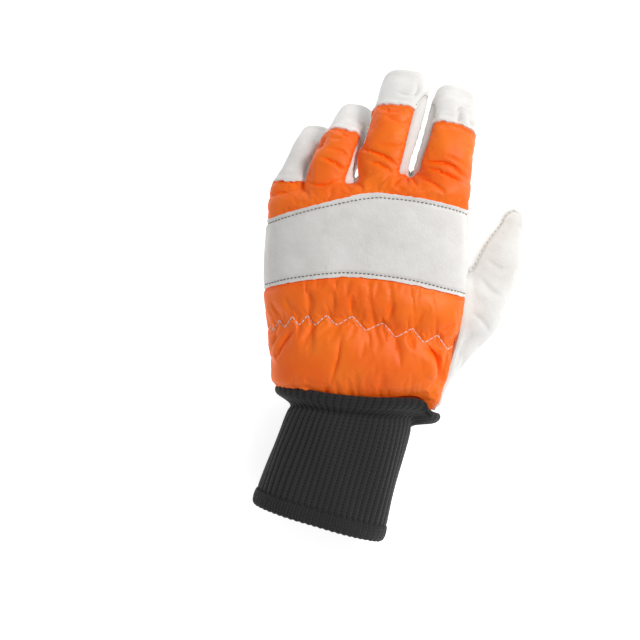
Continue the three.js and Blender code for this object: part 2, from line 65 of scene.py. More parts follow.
# Each finger: root x, y and z, reach, width and thickness as shares of the driving sizes, lean and
# roll in degrees, droop, taper, the fabric strip's left and right shares of the width from the root
# to the cap, where the cap begins, and how far its cut edge slants, in millimetres.
FINGERS = {
    "little": dict(
        x=-0.33, y=1.033, z=0.685, reach=0.65, width=0.733, thick=0.78, lean=22.6, roll=-15,
        droop=0.64, taper=0.95, left=(0.97, 0.97, 0.97, 0.97), right=(0.8, 0.8, 0.8, 0.8),
        cap=0.33, slant=5.0,
    ),
    "ring": dict(
        x=-0.14, y=1.08, z=0.785, reach=0.742, width=0.917, thick=0.93, lean=21.0, roll=-6,
        droop=0.63, taper=0.86, left=(1.1, 0.86, 0.84, 0.86), right=(0.7, 0.68, 0.66, 0.66),
        cap=0.665, slant=0.0,
    ),
    "middle": dict(
        x=0.12, y=1.115, z=0.805, reach=1.0, width=1.0, thick=1.0, lean=15.7, roll=-11,
        droop=0.47, taper=1.02, left=(0.82, 0.9, 0.92, 0.88), right=(0.76, 0.74, 0.7, 0.68),
        cap=0.685, slant=1.0,
    ),
    "index": dict(
        x=0.405, y=1.135, z=0.785, reach=0.765, width=1.067, thick=1.037, lean=14.3, roll=9,
        droop=0.57, taper=0.91, left=(0.86, 0.86, 0.86, 0.86), right=(1.1, 1.05, 0.97, 0.94),
        cap=0.6, slant=1.5,
    ),
}
# Where the strip's shares are given, from the finger's root to its cap.
STRIP_PLACES = (0.38, 0.56, 0.8, 1.0)
# A finger's centre line and section: out, down, width, height, and how much of its taper.
FINGER_ROWS = [
    (-0.35, 0.06, 0.86, 0.86, 0.0), (0.0, 0.0, 1.03, 0.98, 0.0), (0.3, 0.08, 1.0, 1.0, 0.3),
    (0.61, 0.43, 1.0, 0.98, 0.7), (0.85, 0.98, 0.96, 0.86, 1.0),
]
# The body's sections from the wrist: x, y, z, width, height, roll, turn.
BODY_ROWS = [
    (0.0, 0.0, 0.5, 0.84, 0.84, -1, -2), (0.023, 0.246, 0.49, 0.925, 1.05, -2, -1),
    (0.045, 0.501, 0.59, 1.0, 1.0, -3, 0), (0.05, 0.789, 0.7, 1.0, 0.9, -3, 2),
    (0.062, 1.0, 0.77, 0.965, 0.78, -3, 9),
]
# The thumb's sections from its root: out, side, z, width, height.
THUMB_ROOT, THUMB_LEAN = (0.38, 0.125), 29.0
THUMB_ROWS = [
    (-0.13, 0.0, 0.46, 0.5, 0.8), (0.08, -0.027, 0.42, 0.96, 1.16), (0.25, -0.022, 0.4, 1.18, 1.2),
    (0.4, 0.009, 0.39, 1.2, 1.1), (0.56, 0.028, 0.36, 0.95, 1.0), (0.74, 0.014, 0.32, 0.8, 0.84),
    (0.893, -0.005, 0.26, 0.46, 0.55),
]
# The cuff's centre line below the wrist: x, y, z.
CUFF_ROWS = [(0.0, 0.0, 0.6), (-0.109, -0.325, 0.56), (-0.214, -0.65, 0.51), (-0.31, -0.975, 0.48)]

# Seams
SEAM_LEFT, SEAM_RIGHT, FABRIC_RIGHT = 0.02, 0.25, 0.985
# The gap between two fingers, and the widths over which fingers, thumb and floor blend into the hand.
FINGER_GAP, FINGER_BLEND, THUMB_BLEND, FLOOR_BLEND = 2.8, 8, 5, 1.5
# How far below the wrist seam the hand's skin begins.
SKIN_BELOW_WRIST = 1.6
CROTCH_Y, CROTCH_SLOPE = 127.5, 0.155
GUSSET_LOW, GUSSET_HIGH, GUSSET_EDGE = -0.42, 0.66, 0.15
THUMB_SEAM = [(12, -23), (13, 0), (18, 19), (29, 41), (50, 61), (66, 73), (69, 89), (76, 129)]
BAND_TOP = [(-75, 99), (-52, 105.8), (-35, 110.8), (-17, 115.0), (6, 119.2), (21, 118.8),
            (40, 116.2), (64, 110.6), (80, 106)]
BAND_BOTTOM = [(-75, 61), (-55, 65.2), (-40, 68.6), (-17, 71.4), (-3, 71.7), (11, 70.4),
               (30, 67.6), (48, 63.4), (65, 59.4), (80, 55)]
ELASTIC = [
    (-52.5, 41), (-51.2, 43.8), (-49.3, 39.9), (-46.0, 47.0), (-42.8, 42.3), (-38.2, 48.9),
    (-34.4, 43.0), (-29.4, 49.5), (-25.1, 43.2), (-18.4, 49.8), (-12.6, 43.4), (-3.2, 49.1),
    (4.3, 40.4), (14.5, 45.3), (21.9, 36.4), (31.4, 42.0), (38.4, 33.4), (46.5, 38.0),
    (52.8, 29.1), (56.0, 31.5),
]


# Smooth curves and shapes

def between(rows, t):
    """A table's rows at shares t, smoothly through each row."""
    last = len(rows) - 1
    place = np.clip(t, 0, 1) * last
    i = np.minimum(place.astype(int), last - 1)
    f = (place - i)[:, None]
    ends = np.vstack([2 * rows[0] - rows[1], rows, 2 * rows[-1] - rows[-2]])
    a, b, c, d = (ends[i + k] for k in range(4))
    return b + 0.5 * f * (c - a + f * (2 * a - 5 * b + 4 * c - d + f * (3 * (b - c) + d - a)))


def unit(vectors):
    return vectors / np.maximum(np.linalg.norm(vectors, axis=-1, keepdims=True), 1e-9)


def dot(a, b):
    return np.sum(a * b, axis=-1)


def smoothstep(x, low, high):
    s = np.clip((x - low) / (high - low), 0, 1)
    return s * s * (3 - 2 * s)


def smooth_min(a, b, width):
    """The lower of two fields, blended where they are within a width of each other."""
    share = np.clip(0.5 + 0.5 * (b - a) / width, 0, 1)
    return b + (a - b) * share - width * share * (1 - share)


def hump(x, width):
    """A bell of height 1 round 0."""
    return np.exp(-((x / width) ** 2))


def turned(vectors, axes, degrees):
    """Vectors square to their axes, turned about them."""
    angle = np.radians(degrees)[:, None]
    return vectors * np.cos(angle) + np.cross(axes, vectors) * np.sin(angle)


class Limb:
    """A tube of superellipse sections along a smooth line. Rows: x, y, z, width, height, roll, turn."""

    def __init__(self, rows, power, tip, length, stations=24):
        self.rows = np.array(rows, float)
        self.power, self.tip, self.length = power, tip, length
        self.shares = np.linspace(0, 1, stations)
        self.planes = self.frames(self.shares)
        self.span = max(self.planes["w"].max(), self.planes["h"].max()) + 16

    def frames(self, t):
        inside = np.clip(t, 0, 1)
        row = between(self.rows, inside)
        ahead, behind = (between(self.rows, inside + s)[:, :3] for s in (0.01, -0.01))
        tangent = unit(ahead - behind)
        up = np.array([0.0, 0.0, 1.0]) - tangent * tangent[:, 2:]
        up = turned(unit(up), tangent, row[:, 5])
        tangent = turned(tangent, up, row[:, 6])
        half = dict(w=row[:, 3] / 2, h=row[:, 4] / 2)
        return dict(c=row[:, :3], t=tangent, u=up, a=np.cross(tangent, up), **half)

    def locate(self, points):
        """Where points are from the limb.

        t is the share along, past the distance past an end, a sideways, b up, w and h the half sizes
        there, d the distance to the skin and span the distance to the nearest station.
        """
        p = self.planes
        ahead = points @ p["t"].T - dot(p["c"], p["t"])
        away = np.sum(points**2, 1)[:, None] - 2 * points @ p["c"].T + np.sum(p["c"] ** 2, 1)
        crossing = (ahead[:, :-1] >= 0) & (ahead[:, 1:] < 0)
        pick = np.argmin(np.where(crossing, away[:, :-1], np.inf), 1)
        row = np.arange(len(points))
        first, second = ahead[row, pick], ahead[row, pick + 1]
        found = crossing[row, pick]
        t = (pick + first / np.where(found, first - second, 1)) / (len(self.shares) - 1)
        past = np.where(found, 0, np.where(ahead[:, -1] >= 0, ahead[:, -1], ahead[:, 0]))
        t = np.where(found, t, np.where(ahead[:, -1] >= 0, 1.0, 0.0))
        f = self.frames(t)
        across, up = dot(points - f["c"], f["a"]), dot(points - f["c"], f["u"])
        end = self.tip if self.tip else 1.0
        beyond = np.where(past > 0, past / end, past / ROOT_ROUND if self.tip else 0)
        q = np.abs(across / f["w"]) ** self.power + np.abs(up / f["h"]) ** self.power
        g = (q + np.abs(beyond) ** self.power) ** (1 / self.power)
        r = np.sqrt(across**2 + up**2 + np.where(beyond != 0, past, 0) ** 2)
        distance = r * (1 - 1 / np.maximum(g, 1e-3))
        span = np.sqrt(away.min(1))
        return dict(t=t, past=past, a=across, b=up, w=f["w"], h=f["h"], d=distance, span=span)

    def distance(self, points):
        """The distance to the limb's skin, or a large one far from it."""
        low, high = self.planes["c"].min(0) - self.span, self.planes["c"].max(0) + self.span
        near = np.all((points > low) & (points < high), axis=1)
        out = np.full(len(points), FAR)
        for chunk in np.array_split(np.nonzero(near)[0], max(1, near.sum() // 200000)):
            found = self.locate(points[chunk])
            out[chunk] = np.where(found["span"] < self.span, found["d"], FAR)
        return out


def body_limb():
    size = [PALM_WIDTH, BODY_LENGTH, PALM_THICKNESS, PALM_WIDTH, PALM_THICKNESS, 1, 1]
    return Limb(np.array(BODY_ROWS) * size, BODY_POWER, KNUCKLE_ROUND, BODY_LENGTH)


def finger_limb(f):
    lean, reach, width = math.radians(f["lean"]), f["reach"] * FINGER_REACH, f["width"] * FINGER_WIDTH
    rows = [
        (
            f["x"] * PALM_WIDTH + max(out, 0) * reach * math.sin(lean),
            f["y"] * BODY_LENGTH + out * reach * math.cos(lean),
            f["z"] * PALM_THICKNESS - down * f["droop"] * reach,
            wide * width * (1 + (f["taper"] - 1) * tapered),
            high * f["thick"] * FINGER_THICKNESS,
            f["roll"],
            0,
        )
        for out, down, wide, high, tapered in FINGER_ROWS
    ]
    return Limb(rows, FINGER_POWER, 0.43 * width, reach)


def thumb_limb():
    lean = math.radians(THUMB_LEAN)
    rows = []
    for out, side, z, width, height in THUMB_ROWS:
        out, side = out * THUMB_REACH, side * THUMB_REACH
        x = THUMB_ROOT[0] * PALM_WIDTH + out * math.sin(lean) + side * math.cos(lean)
        y = THUMB_ROOT[1] * BODY_LENGTH + out * math.cos(lean) - side * math.sin(lean)
        rows.append((x, y, z * PALM_THICKNESS, width * THUMB_WIDTH, height * THUMB_THICKNESS, 0, 0))
    return Limb(rows, THUMB_POWER, 0.36 * THUMB_WIDTH, THUMB_REACH)


BODY, THUMB = body_limb(), thumb_limb()
LIMBS = {name: finger_limb(f) for name, f in FINGERS.items()}


def skin_distance(points):
    """The distance to the whole hand's skin, which is flattened where it lies on the floor."""
    body = BODY.locate(points)
    tube = body["past"] < 0
    q = np.abs(body["a"] / body["w"]) ** BODY_POWER + np.abs(body["b"] / body["h"]) ** BODY_POWER
    q = q ** (1 / BODY_POWER)
    r = np.hypot(body["a"], body["b"])
    trunk = np.where(tube, r * (1 - 1 / np.maximum(q, 1e-3)), body["d"])
    each = [limb.distance(points) for limb in LIMBS.values()]
    fingers = np.min(each, axis=0)
    past_crotch = points[:, 1] - (CROTCH_Y + CROTCH_SLOPE * points[:, 0]) - 2.5
    for left, right in zip(each, each[1:]):
        gap = np.minimum(FINGER_GAP / 2 - 0.5 * np.abs(left - right), past_crotch)
        gap = np.minimum(gap, 6 - np.maximum(left, right))
        fingers = -smooth_min(-fingers, -gap, 0.6)
    hand = smooth_min(trunk, fingers, FINGER_BLEND)
    hand = smooth_min(hand, THUMB.distance(points), THUMB_BLEND)
    return -smooth_min(-hand, points[:, 2], FLOOR_BLEND)


def surface_net(values, origin, step):
    """Four-sided faces over the zero surface of a grid of values."""
    inside = values < 0
    corners = [(i, j, k) for i in (0, 1) for j in (0, 1) for k in (0, 1)]
    size = np.array(values.shape) - 1

    def part(grid, c):
        return grid[c[0]:c[0] + size[0], c[1]:c[1] + size[1], c[2]:c[2] + size[2]]

    count = sum(part(inside, c).astype(int) for c in corners)
    active = (count > 0) & (count < 8)
    cells = np.argwhere(active)
    number = np.zeros(len(cells))
    total = np.zeros((len(cells), 3))
    for c in corners:
        for axis in range(3):
            if c[axis]:
                continue
            other = tuple(v + (i == axis) for i, v in enumerate(c))
            a, b = part(values, c)[active], part(values, other)[active]
            crossing = (a < 0) != (b < 0)
            share = a[crossing] / (a[crossing] - b[crossing])
            total[crossing] += np.array(c) + share[:, None] * np.eye(3)[axis]
            number[crossing] += 1
    points = origin + step * (cells + total / number[:, None])
    index = np.full(values.shape, -1)
    index[tuple(cells.T)] = np.arange(len(cells))
    quads = []
    for axis in range(3):
        u, v = np.eye(3, dtype=int)[(axis + 1) % 3], np.eye(3, dtype=int)[(axis + 2) % 3]
        low = inside.take(range(size[axis]), axis)
        high = inside.take(range(1, size[axis] + 1), axis)
        for way in (1, 0):
            edges = np.argwhere(low & ~high if way else high & ~low)
            edges = edges[np.all(edges - u - v >= 0, axis=1) & np.all(edges < size, axis=1)]
            ring = [edges - u - v, edges - v, edges, edges - u]
            quad = np.stack([index[tuple(r.T)] for r in (ring if way else ring[::-1])], 1)
            quads.append(quad)
    quads = np.vstack(quads)
    return points, quads[(quads >= 0).all(1)]


def refined(points, quads):
    """Each four-sided face in four."""
    edges = np.sort(quads[:, [0, 1, 1, 2, 2, 3, 3, 0]].reshape(-1, 2), axis=1)
    unique, where = np.unique(edges, axis=0, return_inverse=True)
    where = where.reshape(-1, 4) + len(points)
    centre = np.arange(len(quads)) + len(points) + len(unique)
    every = np.vstack([points, points[unique].mean(1), points[quads].mean(1)])
    parts = [np.stack([quads[:, k], where[:, k], centre, where[:, k - 1]], 1) for k in range(4)]
    return every, np.vstack(parts)


def triangles(quads):
    return np.vstack([quads[:, [0, 1, 2]], quads[:, [0, 2, 3]]])


def point_normals(points, faces):
    """Normals of the points of three-sided faces."""
    p = points[faces]
    n = np.cross(p[:, 1] - p[:, 0], p[:, 2] - p[:, 0])
    corner = faces.ravel()
    total = [np.bincount(corner, np.repeat(n[:, i], 3), len(points)) for i in range(3)]
    return unit(np.stack(total, 1))


def edge_ends(faces):
    """The two ends of every side of three-sided faces."""
    return np.vstack([faces[:, [0, 1]], faces[:, [1, 2]], faces[:, [2, 0]]]).T


def neighbour_mean(points, faces):
    """The mean of each point's neighbours."""
    a, b = edge_ends(faces)
    count = np.maximum(np.bincount(a, minlength=len(points)), 1)
    total = [np.bincount(a, points[b, i], len(points)) for i in range(points.shape[1])]
    return np.stack(total, 1) / count[:, None]


def hand_skin(step=1.9):
    """The hand's whole skin as three-sided faces, with the points' normals."""
    low, high = np.array([-75.0, -9.0, -4.0]), np.array([108.0, 222.0, 72.0])
    axes = [np.arange(a, b, step) for a, b in zip(low, high)]
    grid = np.stack(np.meshgrid(*axes, indexing="ij"), -1).reshape(-1, 3)
    values = np.concatenate([skin_distance(c) for c in np.array_split(grid, 8)])
    points, quads = surface_net(values.reshape([len(a) for a in axes]), low, step)
    for stage in range(2):
        if stage:
            points, quads = refined(points, quads)
        faces = triangles(quads)
        for _ in range(3):
            normals = point_normals(points, faces)
            points = points + 0.5 * (neighbour_mean(points, faces) - points)
            points = points - normals * skin_distance(points)[:, None]
    points = points - point_normals(points, faces) * skin_distance(points)[:, None]
    points[:, 2] = np.maximum(points[:, 2], 0)
    return points, faces


# Cutting the skin into panels

# The share of an edge within which a point moves onto the cut, so that no thin face is left.
SNAP = 0.3


def clipped(data, faces, field):
    """The part of a skin where a field is above 0, cut cleanly along its zero line."""
    data, d = data.copy(), field.copy()
    edges = np.unique(np.sort(faces[:, [0, 1, 1, 2, 2, 0]].reshape(-1, 2), axis=1), axis=0)
    a, b = edges[d[edges[:, 0]] * d[edges[:, 1]] < 0].T
    share = d[a] / (d[a] - d[b])
    moves = [(a, b, share), (b, a, 1 - share)]
    point = np.concatenate([m[0][m[2] < SNAP] for m in moves])
    other = np.concatenate([m[1][m[2] < SNAP] for m in moves])
    part = np.concatenate([m[2][m[2] < SNAP] for m in moves])
    order = np.argsort(-part)
    point, other, part = point[order], other[order], part[order][:, None]
    data[point] = data[point] * (1 - part) + data[other] * part
    d[point] = 0
    a, b = edges[d[edges[:, 0]] * d[edges[:, 1]] < 0].T
    share = (d[a] / (d[a] - d[b]))[:, None]
    key = a * len(data) + b
    first_new = len(data)
    data = np.vstack([data, data[a] * (1 - share) + data[b] * share])

    def middle(u, v):
        wanted = np.minimum(u, v) * first_new + np.maximum(u, v)
        return first_new + np.searchsorted(key, wanted)

    sign = np.sign(d)[faces]
    some, none = (sign > 0).any(1), (sign < 0).any(1)
    kept = [faces[some & ~none]]
    for positives, negatives, lead in ((1, 2, 1), (2, 1, -1), (1, 1, 0)):
        rows = some & none & ((sign > 0).sum(1) == positives) & ((sign < 0).sum(1) == negatives)
        f, s = faces[rows], sign[rows]
        turn = (np.argmax(s == lead, axis=1)[:, None] + np.arange(3)) % 3
        i, j, k = np.take_along_axis(f, turn, 1).T
        if lead == 1:
            kept.append(np.stack([i, middle(i, j), middle(k, i)], 1))
        elif lead == -1:
            kept.append(np.stack([middle(i, j), j, k], 1))
            kept.append(np.stack([middle(i, j), k, middle(k, i)], 1))
        else:
            ahead = d[j] > 0
            cut = middle(j, k)
            kept.append(np.stack([i, np.where(ahead, j, cut), np.where(ahead, cut, k)], 1))
    faces = np.vstack(kept)
    used, faces = np.unique(faces, return_inverse=True)
    return data[used], faces.reshape(-1, 3)


def rim(faces):
    """The edges round a skin, in the faces' own direction."""
    edges = faces[:, [0, 1, 1, 2, 2, 0]].reshape(-1, 2)
    key = np.sort(edges, axis=1)
    _, where, count = np.unique(key, axis=0, return_inverse=True, return_counts=True)
    return edges[count[where.ravel()] == 1]


def near(points, targets):
    """The distance from each point to the nearest target."""
    square = np.sum(targets**2, 1)
    chunks = np.array_split(points, max(1, len(points) * len(targets) // 8_000_000))
    found = [np.min(square - 2 * c @ targets.T, axis=1) + np.sum(c**2, 1) for c in chunks]
    return np.sqrt(np.maximum(np.concatenate(found), 0))


def line_height(line, x):
    """The height of a smooth line through points in plan."""
    smooth = between(np.array(line, float), np.linspace(0, 1, 200))
    return np.interp(x, smooth[:, 0], smooth[:, 1])


def from_line(line, points):
    """Distance from a line in plan, the nearest share of it, and 1 on its right or -1 on its left."""
    line = np.array(line, float)
    best, at, side = np.full(len(points), 1e9), np.zeros(len(points)), np.ones(len(points))
    total = np.linalg.norm(np.diff(line, axis=0), axis=1).sum()
    run = 0.0
    for start, end in zip(line, line[1:]):
        ahead = end - start
        length = np.linalg.norm(ahead)
        offset = points[:, :2] - start
        share = np.clip(offset @ ahead / length**2, 0, 1)
        away = np.linalg.norm(offset - share[:, None] * ahead, axis=1)
        closer = away < best
        at = np.where(closer, (run + share * length) / total, at)
        right = np.sign(offset[:, 0] * ahead[1] - offset[:, 1] * ahead[0])
        side = np.where(closer, right, side)
        best = np.minimum(best, away)
        run += length
    return best, at, side


def inside_plan(outline, points):
    """How far inside a plan outline points are, below 0 outside."""
    outline = np.array(outline + outline[:1], float)
    away, _, _ = from_line(outline, points)
    x, y = points[:, 0], points[:, 1]
    odd = np.zeros(len(points), bool)
    for (x0, y0), (x1, y1) in zip(outline, outline[1:]):
        if y0 != y1:
            odd ^= ((y0 > y) != (y1 > y)) & (x < x0 + (y - y0) * (x1 - x0) / (y1 - y0))
    return np.where(odd, away, -away)


def seam_fields(points):
    """Named fields in millimetres whose zero lines are the glove's seams."""
    body, thumb = BODY.locate(points), THUMB.locate(points)
    found = {name: limb.locate(points) for name, limb in LIMBS.items()}
    seam = body["h"] * (SEAM_LEFT + (SEAM_RIGHT - SEAM_LEFT) * (body["a"] / body["w"] + 1.3) / 2.285)
    back = smooth_min(body["b"] - seam, FABRIC_RIGHT * body["w"] - body["a"], 2)
    back = smooth_min(back, CROTCH_Y + CROTCH_SLOPE * points[:, 0] - points[:, 1], 3)
    fields = {}
    for name, f in found.items():
        finger, limb = FINGERS[name], LIMBS[name]
        along = f["past"] + (f["t"] - finger["cap"]) * limb.length
        slanted = along - 0.5 * finger["slant"] * (f["a"] / f["w"] + 0.4)
        to_cap = f["t"] / finger["cap"]
        wide = np.clip((f["t"] - finger["cap"]) / (0.93 - finger["cap"]), 0, 1)
        left = np.interp(to_cap, STRIP_PLACES, finger["left"])
        right = np.interp(to_cap, STRIP_PLACES, finger["right"])
        strip = np.where(f["a"] < 0, left, right)
        strip = strip + np.maximum(1.04 - strip, 0) * wide
        side = strip * f["w"] - np.abs(f["a"])
        strip_field = smooth_min(side, f["b"] - 0.05 * f["h"], 2)
        on_finger = f["span"] < limb.span
        strip_field = np.where(on_finger & (f["past"] > -6), strip_field, -FAR)
        back = -smooth_min(-back, -strip_field, 2.5)
        others = [
            np.where(other["span"] < LIMBS[n].span, other["d"], FAR)
            for n, other in found.items() if n != name
        ]
        own = on_finger & (f["d"] < np.min(others, axis=0) + 3)
        fields["cap_" + name] = np.where(own, slanted, -FAR)
        fields["along_" + name] = np.where(on_finger, along + finger["cap"] * limb.length, -FAR)
        fields["near_" + name] = np.where(on_finger, f["d"], FAR)
    fields["back"] = back
    fields["under"] = seam - body["b"]
    x, y = points[:, 0], points[:, 1]
    fields["band_top"] = line_height(BAND_TOP, x) - y
    fields["band_bottom"] = y - line_height(BAND_BOTTOM, x)
    outline = THUMB_SEAM + [(240, 129), (240, -23)]
    fields["thumb"] = inside_plan(outline, points)
    web = np.minimum(GUSSET_EDGE * thumb["w"] - thumb["a"], GUSSET_HIGH * thumb["h"] - thumb["b"])
    web = np.minimum(web, thumb["b"] - GUSSET_LOW * thumb["h"])
    on_thumb = thumb["past"] + (thumb["t"] - 0.5) * THUMB_REACH
    fields["web"] = smooth_min(web, on_thumb, 3)
    fields["wrist"] = body["past"] + body["t"] * BODY_LENGTH
    names = list(FINGERS)
    for left, right in zip(names, names[1:]):
        wall = np.full(len(points), -FAR)
        for name, other, way in ((left, right, 1), (right, left, -1)):
            f, limb = found[name], LIMBS[name]
            beside = found[other]
            nearest = (f["d"] < beside["d"] + 0.2) | (beside["span"] >= LIMBS[other].span)
            reach = (f["t"] - 0.12) * limb.length + f["past"]
            edge = smooth_min(way * f["a"] - 0.25 * f["w"], f["b"] - (0.5 * f["t"] - 0.7) * f["h"], 3)
            edge = smooth_min(edge, smooth_min(reach, 0.97 * limb.length - reach, 3), 3)
            own = nearest & (f["span"] < limb.span) & (f["d"] < 3)
            wall = np.maximum(wall, np.where(own, edge, -FAR))
        fields[f"wall_{left}_{right}"] = wall
    return fields


class Panel:
    """A piece of the hand's skin: its points, normals and named fields."""

    def __init__(self, data, faces, names):
        self.data, self.faces, self.names = data, faces, names

    def __getitem__(self, name):
        return self.data[:, 6 + self.names.index(name)]

    points = property(lambda self: self.data[:, :3])
    normals = property(lambda self: unit(self.data[:, 3:6]))

    def cut(self, field):
        return Panel(*clipped(self.data, self.faces, field), self.names)

    def largest(self):
        """The panel without the scraps that a cut leaves."""
        label = np.arange(len(self.data))
        a, b = edge_ends(self.faces)
        while True:
            low = label.copy()
            np.minimum.at(low, a, label[b])
            np.minimum.at(low, b, label[a])
            low = low[low]
            if (low == label).all():
                break
            label = low
        best = np.bincount(label).argmax()
        faces = self.faces[label[self.faces[:, 0]] == best]
        used, faces = np.unique(faces, return_inverse=True)
        return Panel(self.data[used], faces.reshape(-1, 3), self.names)

    def rim_distance(self):
        return near(self.points, self.points[np.unique(rim(self.faces))])


def noise(points, size, seed=0):
    """Smooth noise from -1 to 1 with bumps of about a size."""
    p = points / size + 100.3
    cell = np.floor(p).astype(np.int64)
    f = p - cell
    f = f * f * f * (f * (f * 6 - 15) + 10)
    total = np.zeros(len(points))
    for i in (0, 1):
        for j in (0, 1):
            for k in (0, 1):
                c = cell + [i, j, k]
                n = (c[:, 0] * 73856093) ^ (c[:, 1] * 19349663) ^ (c[:, 2] * 83492791)
                n = n ^ (seed * 2654435761)
                n = (n ^ (n >> 13)) * 1274126177
                value = ((n ^ (n >> 16)) & 0xFFFF) / 32767.5 - 1
                weight = np.prod(np.where([i, j, k], f, 1 - f), axis=1)
                total += value * weight
    return total


# Folds in the padded back, in plan: points of the line, half width, depth at its deepest, and the
# height of the lip that stands beside it on its right as the points run.
FOLDS = [
    ([(-43, 43), (-48, 33), (-51, 19)], 2.2, 1.5, 0.7),
    ([(-36, 44), (-43, 32), (-47, 19)], 2.4, 1.8, 0.9),
    ([(-26, 44), (-30, 34)], 2.2, 0.9, 0.2),
    ([(-9, 43), (-12, 22), (-17, 6)], 2.8, 1.2, 0.5),
    ([(6, 41), (7, 30)], 3.0, 0.9, 0.0),
    ([(22, 37), (23, 27)], 3.0, 1.0, 0.1),
    ([(31, 39), (32, 28)], 2.6, 1.7, 0.4),
    ([(38, 34), (46, 24), (47, 12), (41, 6)], 2.8, 3.4, 1.6),
    ([(52, 30), (50, 16), (46, 2)], 2.2, 0.9, 0.3),
    ([(-46, 48), (-49, 60)], 2.6, 0.8, 0.2),
    ([(-38, 50), (-41, 63)], 2.8, 0.9, 0.2),
    ([(-26, 51), (-28, 66)], 3.0, 1.1, 0.2),
    ([(-14, 50), (-14, 64)], 3.2, 0.8, 0.1),
    ([(-3, 50), (-5, 62)], 2.8, 1.0, 0.3),
    ([(17, 46), (20, 58)], 3.4, 1.2, 0.3),
    ([(34, 43), (37, 54)], 3.0, 0.9, 0.2),
    ([(49, 38), (55, 48)], 2.6, 0.8, 0.2),
    ([(-19, 1), (-17, 8)], 1.7, 1.2, 0.3),
    ([(-34, 1), (-35, 8)], 1.7, 0.8, 0.2),
    ([(-4, 1), (-3, 6)], 1.6, 0.7, 0.2),
    ([(18, 1), (18, 6)], 1.6, 0.6, 0.1),
    ([(4, 146), (12, 143), (19, 139), (23, 134)], 1.2, 1.5, 0.5),
    ([(6, 139), (14, 136), (21, 131)], 1.2, 1.1, 0.3),
    ([(13, 170), (21, 168), (28, 170)], 1.2, 0.8, 0.2),
    ([(16, 173.5), (20, 165)], 1.0, 0.6, 0.1),
    ([(9, 150), (18, 148), (26, 150)], 2.2, 0.6, 0.2),
    ([(15, 165), (26, 162), (31, 168)], 2.0, 0.8, 0.2),
    ([(-22, 141), (-14, 138), (-5.5, 132.5)], 1.2, 1.5, 0.5),
    ([(-19, 146), (-11, 145), (-4, 141)], 1.1, 0.8, 0.2),
    ([(-30, 127), (-20, 125), (-12, 128)], 1.4, 0.9, 0.3),
    ([(-12, 157), (-6, 153), (-1, 154)], 1.0, 0.7, 0.2),
    ([(-16, 152), (-8, 152)], 1.8, 0.5, 0.1),
    ([(-47, 128), (-40, 129), (-33, 124)], 1.3, 1.1, 0.3),
    ([(-53, 118), (-46, 121), (-38, 120)], 1.5, 0.8, 0.2),
    ([(35, 134.5), (47, 133), (58, 127), (65, 123)], 1.3, 1.5, 0.5),
    ([(37, 138), (52, 137), (64, 128)], 1.4, 1.5, 0.5),
    ([(45, 144), (56, 140), (65, 133)], 1.2, 0.8, 0.3),
    ([(33, 130), (42, 126), (52, 119)], 1.4, 0.9, 0.3),
    ([(58, 151), (65, 146)], 1.3, 0.7, 0.2),
    ([(27, 131), (29, 124)], 1.2, 1.1, 0.3),
    ([(24, 129), (20, 122)], 1.2, 0.8, 0.2),
    ([(31, 130), (34, 122)], 1.2, 0.9, 0.2),
    ([(41, 160), (47, 163), (52, 161)], 1.2, 0.6, 0.2),
    ([(-2, 127), (4, 121)], 2.0, 0.6, 0.1),
    ([(-31, 123), (-27, 117)], 2.0, 0.6, 0.1),
]
# Creases in the leather of the palm side, in plan as seen from above.
PALM_FOLDS = [
    ([(14, 76), (20, 55), (16, 30)], 3.4, 1.3, 0.6),
    ([(24, 80), (34, 62), (36, 44)], 3.6, 1.4, 0.6),
    ([(2, 74), (4, 48), (0, 22)], 4.0, 0.8, 0.3),
    ([(-28, 76), (-22, 50), (-14, 26)], 4.5, 0.6, 0.2),
    ([(10, 130), (20, 129), (30, 131)], 1.6, 1.3, 0.5),
    ([(-18, 128), (-8, 125), (0, 127)], 1.6, 1.2, 0.5),
    ([(-48, 121), (-38, 119), (-32, 122)], 1.5, 1.0, 0.4),
    ([(40, 132), (50, 130), (64, 127)], 1.7, 1.3, 0.5),
    ([(-8, 10), (6, 6), (20, 10)], 2.4, 0.7, 0.3),
]
LEATHER_FOLDS = [
    ([(32, 178), (36, 184), (36, 190)], 1.5, 0.9, 0.5),
    ([(22, 183), (30, 180), (37, 183)], 1.2, 0.5, 0.2),
    ([(61, 156), (59, 163), (61, 172)], 1.9, 1.4, 0.7),
    ([(66, 158), (66, 166)], 1.5, 0.9, 0.4),
    ([(57, 170), (62, 174), (69, 174)], 1.5, 0.8, 0.4),
    ([(72, 73), (80, 64), (88, 60)], 2.6, 1.1, 0.5),
    ([(76, 84), (84, 78), (92, 77)], 2.0, 0.6, 0.3),
    ([(70, 40), (62, 30), (56, 16)], 3.6, 1.2, 0.4),
    ([(66, 52), (74, 46), (80, 38)], 2.6, 0.8, 0.3),
    ([(57, 10), (62, 18), (64, 27)], 1.8, 0.7, 0.3),
]


# How many of its half widths away a fold still shows.
FOLD_REACH = 5.0


def folded(points, folds):
    """How far a table of folds presses each point in."""
    depth = np.zeros(len(points))
    for line, width, deep, lip in folds:
        line = between(np.array(line, float), np.linspace(0, 1, 5 * len(line) - 4))
        plan, reach = points[:, :2], FOLD_REACH * width
        close = np.all((plan > line.min(0) - reach) & (plan < line.max(0) + reach), axis=1)
        away, at, side = from_line(line, points[close])
        fade = smoothstep(at, -0.02, 0.35) * smoothstep(-at, -1.02, -0.55)
        depth[close] += 1.35 * deep * (1 + (away / (0.8 * width)) ** 2) ** -2 * fade
        beside = hump(away - 2.1 * width, 1.1 * width)
        depth[close] -= lip * beside * (side > 0) * fade
    return depth


def from_elastic(points):
    """The distance in plan from the middle of the elastic's zigzag."""
    line = np.array(ELASTIC, float)
    middle = np.vstack([line[:1], (line[1:] + line[:-1]) / 2, line[-1:]])
    away, _, _ = from_line(middle, points)
    return away


